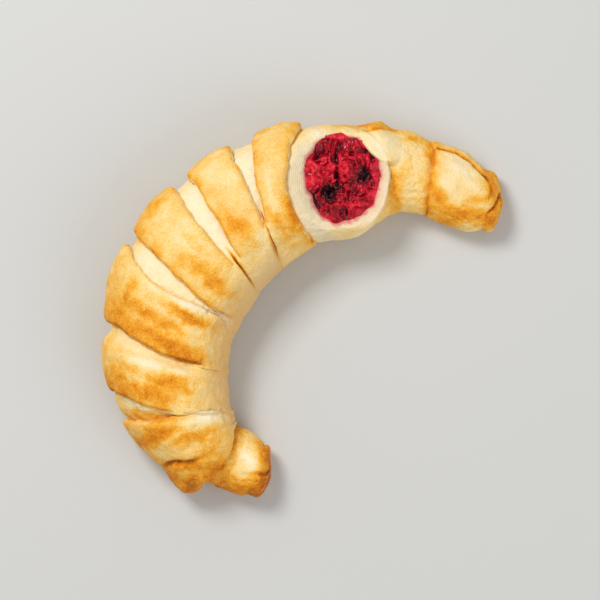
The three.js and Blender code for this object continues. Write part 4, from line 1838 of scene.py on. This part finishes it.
@dataclass(frozen=True)
class Scatter:
    """Small flattened lumps scattered over a piece by Geometry Nodes.

    The lumps stand where the piece's mask `where` is above `threshold`. The largest are `length`
    long, and the smallest `smallest` of that.
    """

    name: str
    where: str
    threshold: float
    per_square_metre: float
    length: float
    shape: tuple[float, float, float]
    seed: int
    smallest: float = 0.45

    def tree(self) -> bpy.types.NodeTree:
        """Build the node tree.

        Returns:
            The tree, with its inputs named.
        """
        tree = bpy.data.node_groups.new(self.name, "GeometryNodeTree")
        inputs = {
            "Geometry": "NodeSocketGeometry",
            "Density": FLOAT,
            "Length": FLOAT,
            "Threshold": FLOAT,
            "Seed": "NodeSocketInt",
            "Look": "NodeSocketMaterial",
        }
        for label, kind in inputs.items():
            tree.interface.new_socket(label, in_out="INPUT", socket_type=kind)
        tree.interface.new_socket("Geometry", in_out="OUTPUT", socket_type="NodeSocketGeometry")
        sheet = NodeSheet(tree)
        source, result = sheet.add("NodeGroupInput"), sheet.add("NodeGroupOutput")
        mask = sheet.add("GeometryNodeInputNamedAttribute", data_type="FLOAT")
        mask.inputs["Name"].default_value = self.where
        chosen = sheet.add("FunctionNodeCompare", data_type="FLOAT", operation="GREATER_THAN")
        sheet.feed(chosen.inputs[0], mask.outputs[0])
        sheet.feed(chosen.inputs[1], source.outputs["Threshold"])
        points = sheet.add("GeometryNodeDistributePointsOnFaces")
        sheet.feed(points.inputs["Mesh"], source.outputs["Geometry"])
        sheet.feed(points.inputs["Selection"], chosen.outputs[0])
        sheet.feed(points.inputs["Density"], source.outputs["Density"])
        sheet.feed(points.inputs["Seed"], source.outputs["Seed"])
        lump = sheet.add("GeometryNodeMeshIcoSphere")
        lump.inputs["Radius"].default_value = 0.5
        lump.inputs["Subdivisions"].default_value = 2
        flat = sheet.add("GeometryNodeTransform")
        sheet.feed(flat.inputs["Geometry"], lump.outputs["Mesh"])
        flat.inputs["Scale"].default_value = self.shape
        smooth = sheet.add("GeometryNodeSetShadeSmooth")
        sheet.feed(smooth.inputs["Geometry"], flat.outputs["Geometry"])
        spin = sheet.add("FunctionNodeRandomValue", data_type="FLOAT_VECTOR")
        spin.inputs["Min"].default_value = (-0.5, -0.5, 0.0)
        spin.inputs["Max"].default_value = (0.5, 0.5, 2 * math.pi)
        sheet.feed(spin.inputs["Seed"], source.outputs["Seed"])
        turned = sheet.add("FunctionNodeRotateRotation", rotation_space="LOCAL")
        sheet.feed(turned.inputs["Rotation"], points.outputs["Rotation"])
        sheet.feed(turned.inputs["Rotate By"], spin.outputs[0])
        size = sheet.add("FunctionNodeRandomValue", data_type="FLOAT")
        size.inputs[2].default_value = self.smallest
        size.inputs[3].default_value = 1.0
        sheet.feed(size.inputs["Seed"], source.outputs["Seed"])
        length = sheet.math("MULTIPLY", size.outputs[1], source.outputs["Length"])
        placed = sheet.add("GeometryNodeInstanceOnPoints")
        sheet.feed(placed.inputs["Points"], points.outputs["Points"])
        sheet.feed(placed.inputs["Instance"], smooth.outputs["Geometry"])
        sheet.feed(placed.inputs["Rotation"], turned.outputs[0])
        sheet.feed(placed.inputs["Scale"], length)
        real = sheet.add("GeometryNodeRealizeInstances")
        sheet.feed(real.inputs["Geometry"], placed.outputs["Instances"])
        coloured = sheet.add("GeometryNodeSetMaterial")
        sheet.feed(coloured.inputs["Geometry"], real.outputs["Geometry"])
        sheet.feed(coloured.inputs["Material"], source.outputs["Look"])
        sheet.feed(result.inputs["Geometry"], coloured.outputs["Geometry"])
        return tree

    def build(self, host: bpy.types.Object, material: bpy.types.Material, slot: str) -> bpy.types.Object:
        """Scatter the lumps over a piece, as one plain mesh.

        Args:
            host: the piece they lie on.
            material: their finish.
            slot: not used.

        Returns:
            The scattered lumps as one piece.
        """
        tree = self.tree()
        bed = bpy.data.objects.new(self.name + "_bed", host.data)
        bpy.context.scene.collection.objects.link(bed)
        modifier = bed.modifiers.new("scatter", "NODES")
        modifier.node_group = tree
        settings = {
            "Density": self.per_square_metre,
            "Length": self.length,
            "Threshold": self.threshold,
            "Seed": self.seed,
            "Look": material,
        }
        for item in tree.interface.items_tree:
            if item.in_out == "INPUT" and item.name in settings:
                modifier[item.identifier] = settings[item.name]
        graph = bpy.context.evaluated_depsgraph_get()
        mesh = bpy.data.meshes.new_from_object(bed.evaluated_get(graph))
        bed.modifiers.remove(modifier)
        bpy.data.objects.remove(bed)
        piece = bpy.data.objects.new(self.name, mesh)
        bpy.context.scene.collection.objects.link(piece)
        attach(piece, ROOT_BODY)
        log.info("%s: %d faces", self.name, len(mesh.polygons))
        return piece


# ------------------------------------------------------------------ the studio


@dataclass
class Studio:
    """Pale floor, a key lamp at the upper left, a fill lamp opposite, a sky and a camera above."""

    floor_finish: FloorFinish
    floor_size: float = 3.0
    camera_height: float = 1.2
    focus_height: float = 0.015
    camera_offset: tuple[float, float] = (-0.0012, 0.0038)
    lens: float = 180.0
    sensor_width: float = 36.0
    key_place: tuple[float, float, float] = (-0.52, 0.62, 1.05)
    key_size: float = 0.42
    key_power: float = 11.5
    fill_place: tuple[float, float, float] = (0.8, -0.65, 0.75)
    fill_size: float = 1.0
    fill_power: float = 5.6
    lamp_colour: tuple[float, float, float] = (1.0, 0.985, 0.96)
    sky_strength: float = 0.475

    def build(self) -> None:
        """Build the floor, the lights and the camera."""
        self.build_floor()
        self.build_lights()
        self.build_camera()
        bpy.context.scene.view_settings.view_transform = "Standard"
        log.info("studio: floor, two lamps, sky and camera")

    def build_floor(self) -> None:
        """Lay the floor just under the roll."""
        half = self.floor_size / 2
        mesh = bpy.data.meshes.new("floor")
        corners = [(-half, -half, 0), (half, -half, 0), (half, half, 0), (-half, half, 0)]
        mesh.from_pydata(corners, [], [(0, 1, 2, 3)])
        mesh.materials.append(self.floor_finish.build())
        floor = bpy.data.objects.new("floor", mesh)
        bpy.context.scene.collection.objects.link(floor)

    def build_lamp(self, name: str, place: tuple[float, float, float], size: float, power: float) -> None:
        """Hang a square lamp that faces the roll.

        Args:
            name: name of the lamp.
            place: where it hangs.
            size: length of its sides.
            power: its power in watts.
        """
        lamp = bpy.data.lights.new(name, "AREA")
        lamp.size = size
        lamp.energy = power
        lamp.color = self.lamp_colour
        holder = bpy.data.objects.new(name, lamp)
        holder.location = place
        holder.rotation_euler = (-Vector(place)).to_track_quat("-Z", "Y").to_euler()
        bpy.context.scene.collection.objects.link(holder)

    def build_lights(self) -> None:
        """Hang the key and fill lamps and set the even light of the sky."""
        self.build_lamp("key", self.key_place, self.key_size, self.key_power)
        self.build_lamp("fill", self.fill_place, self.fill_size, self.fill_power)
        world = bpy.data.worlds.new("sky")
        world.use_nodes = True
        background = world.node_tree.nodes["Background"]
        background.inputs["Color"].default_value = (1.0, 1.0, 1.0, 1.0)
        background.inputs["Strength"].default_value = self.sky_strength
        bpy.context.scene.world = world

    def build_camera(self) -> None:
        """Hang the camera above the roll, looking straight down with +Y upwards."""
        lens = bpy.data.cameras.new("camera")
        lens.lens = self.lens
        lens.sensor_width = self.sensor_width
        camera = bpy.data.objects.new("camera", lens)
        camera.location = (*self.camera_offset, self.camera_height + self.focus_height)
        bpy.context.scene.collection.objects.link(camera)
        bpy.context.scene.camera = camera


def main() -> None:
    """Build the roll, its filling and the studio."""
    effects = SharedEffects()
    opening = Opening()
    roll = Roll(opening)
    roll.build(CrustFinish(effects).build())
    fruit = CherryFinish().build()
    cherries = CherryFilling(opening, roll.fit).build(fruit)
    shreds = Scatter(
        name="cherry_shreds",
        where="rise",
        threshold=0.5,
        per_square_metre=3.2e5,
        length=0.0027,
        shape=(1.0, 0.36, 0.26),
        seed=7,
    )
    shreds.build(cherries, fruit, "cherry")
    Studio(FloorFinish()).build()


if __name__ == "__main__":
    main()
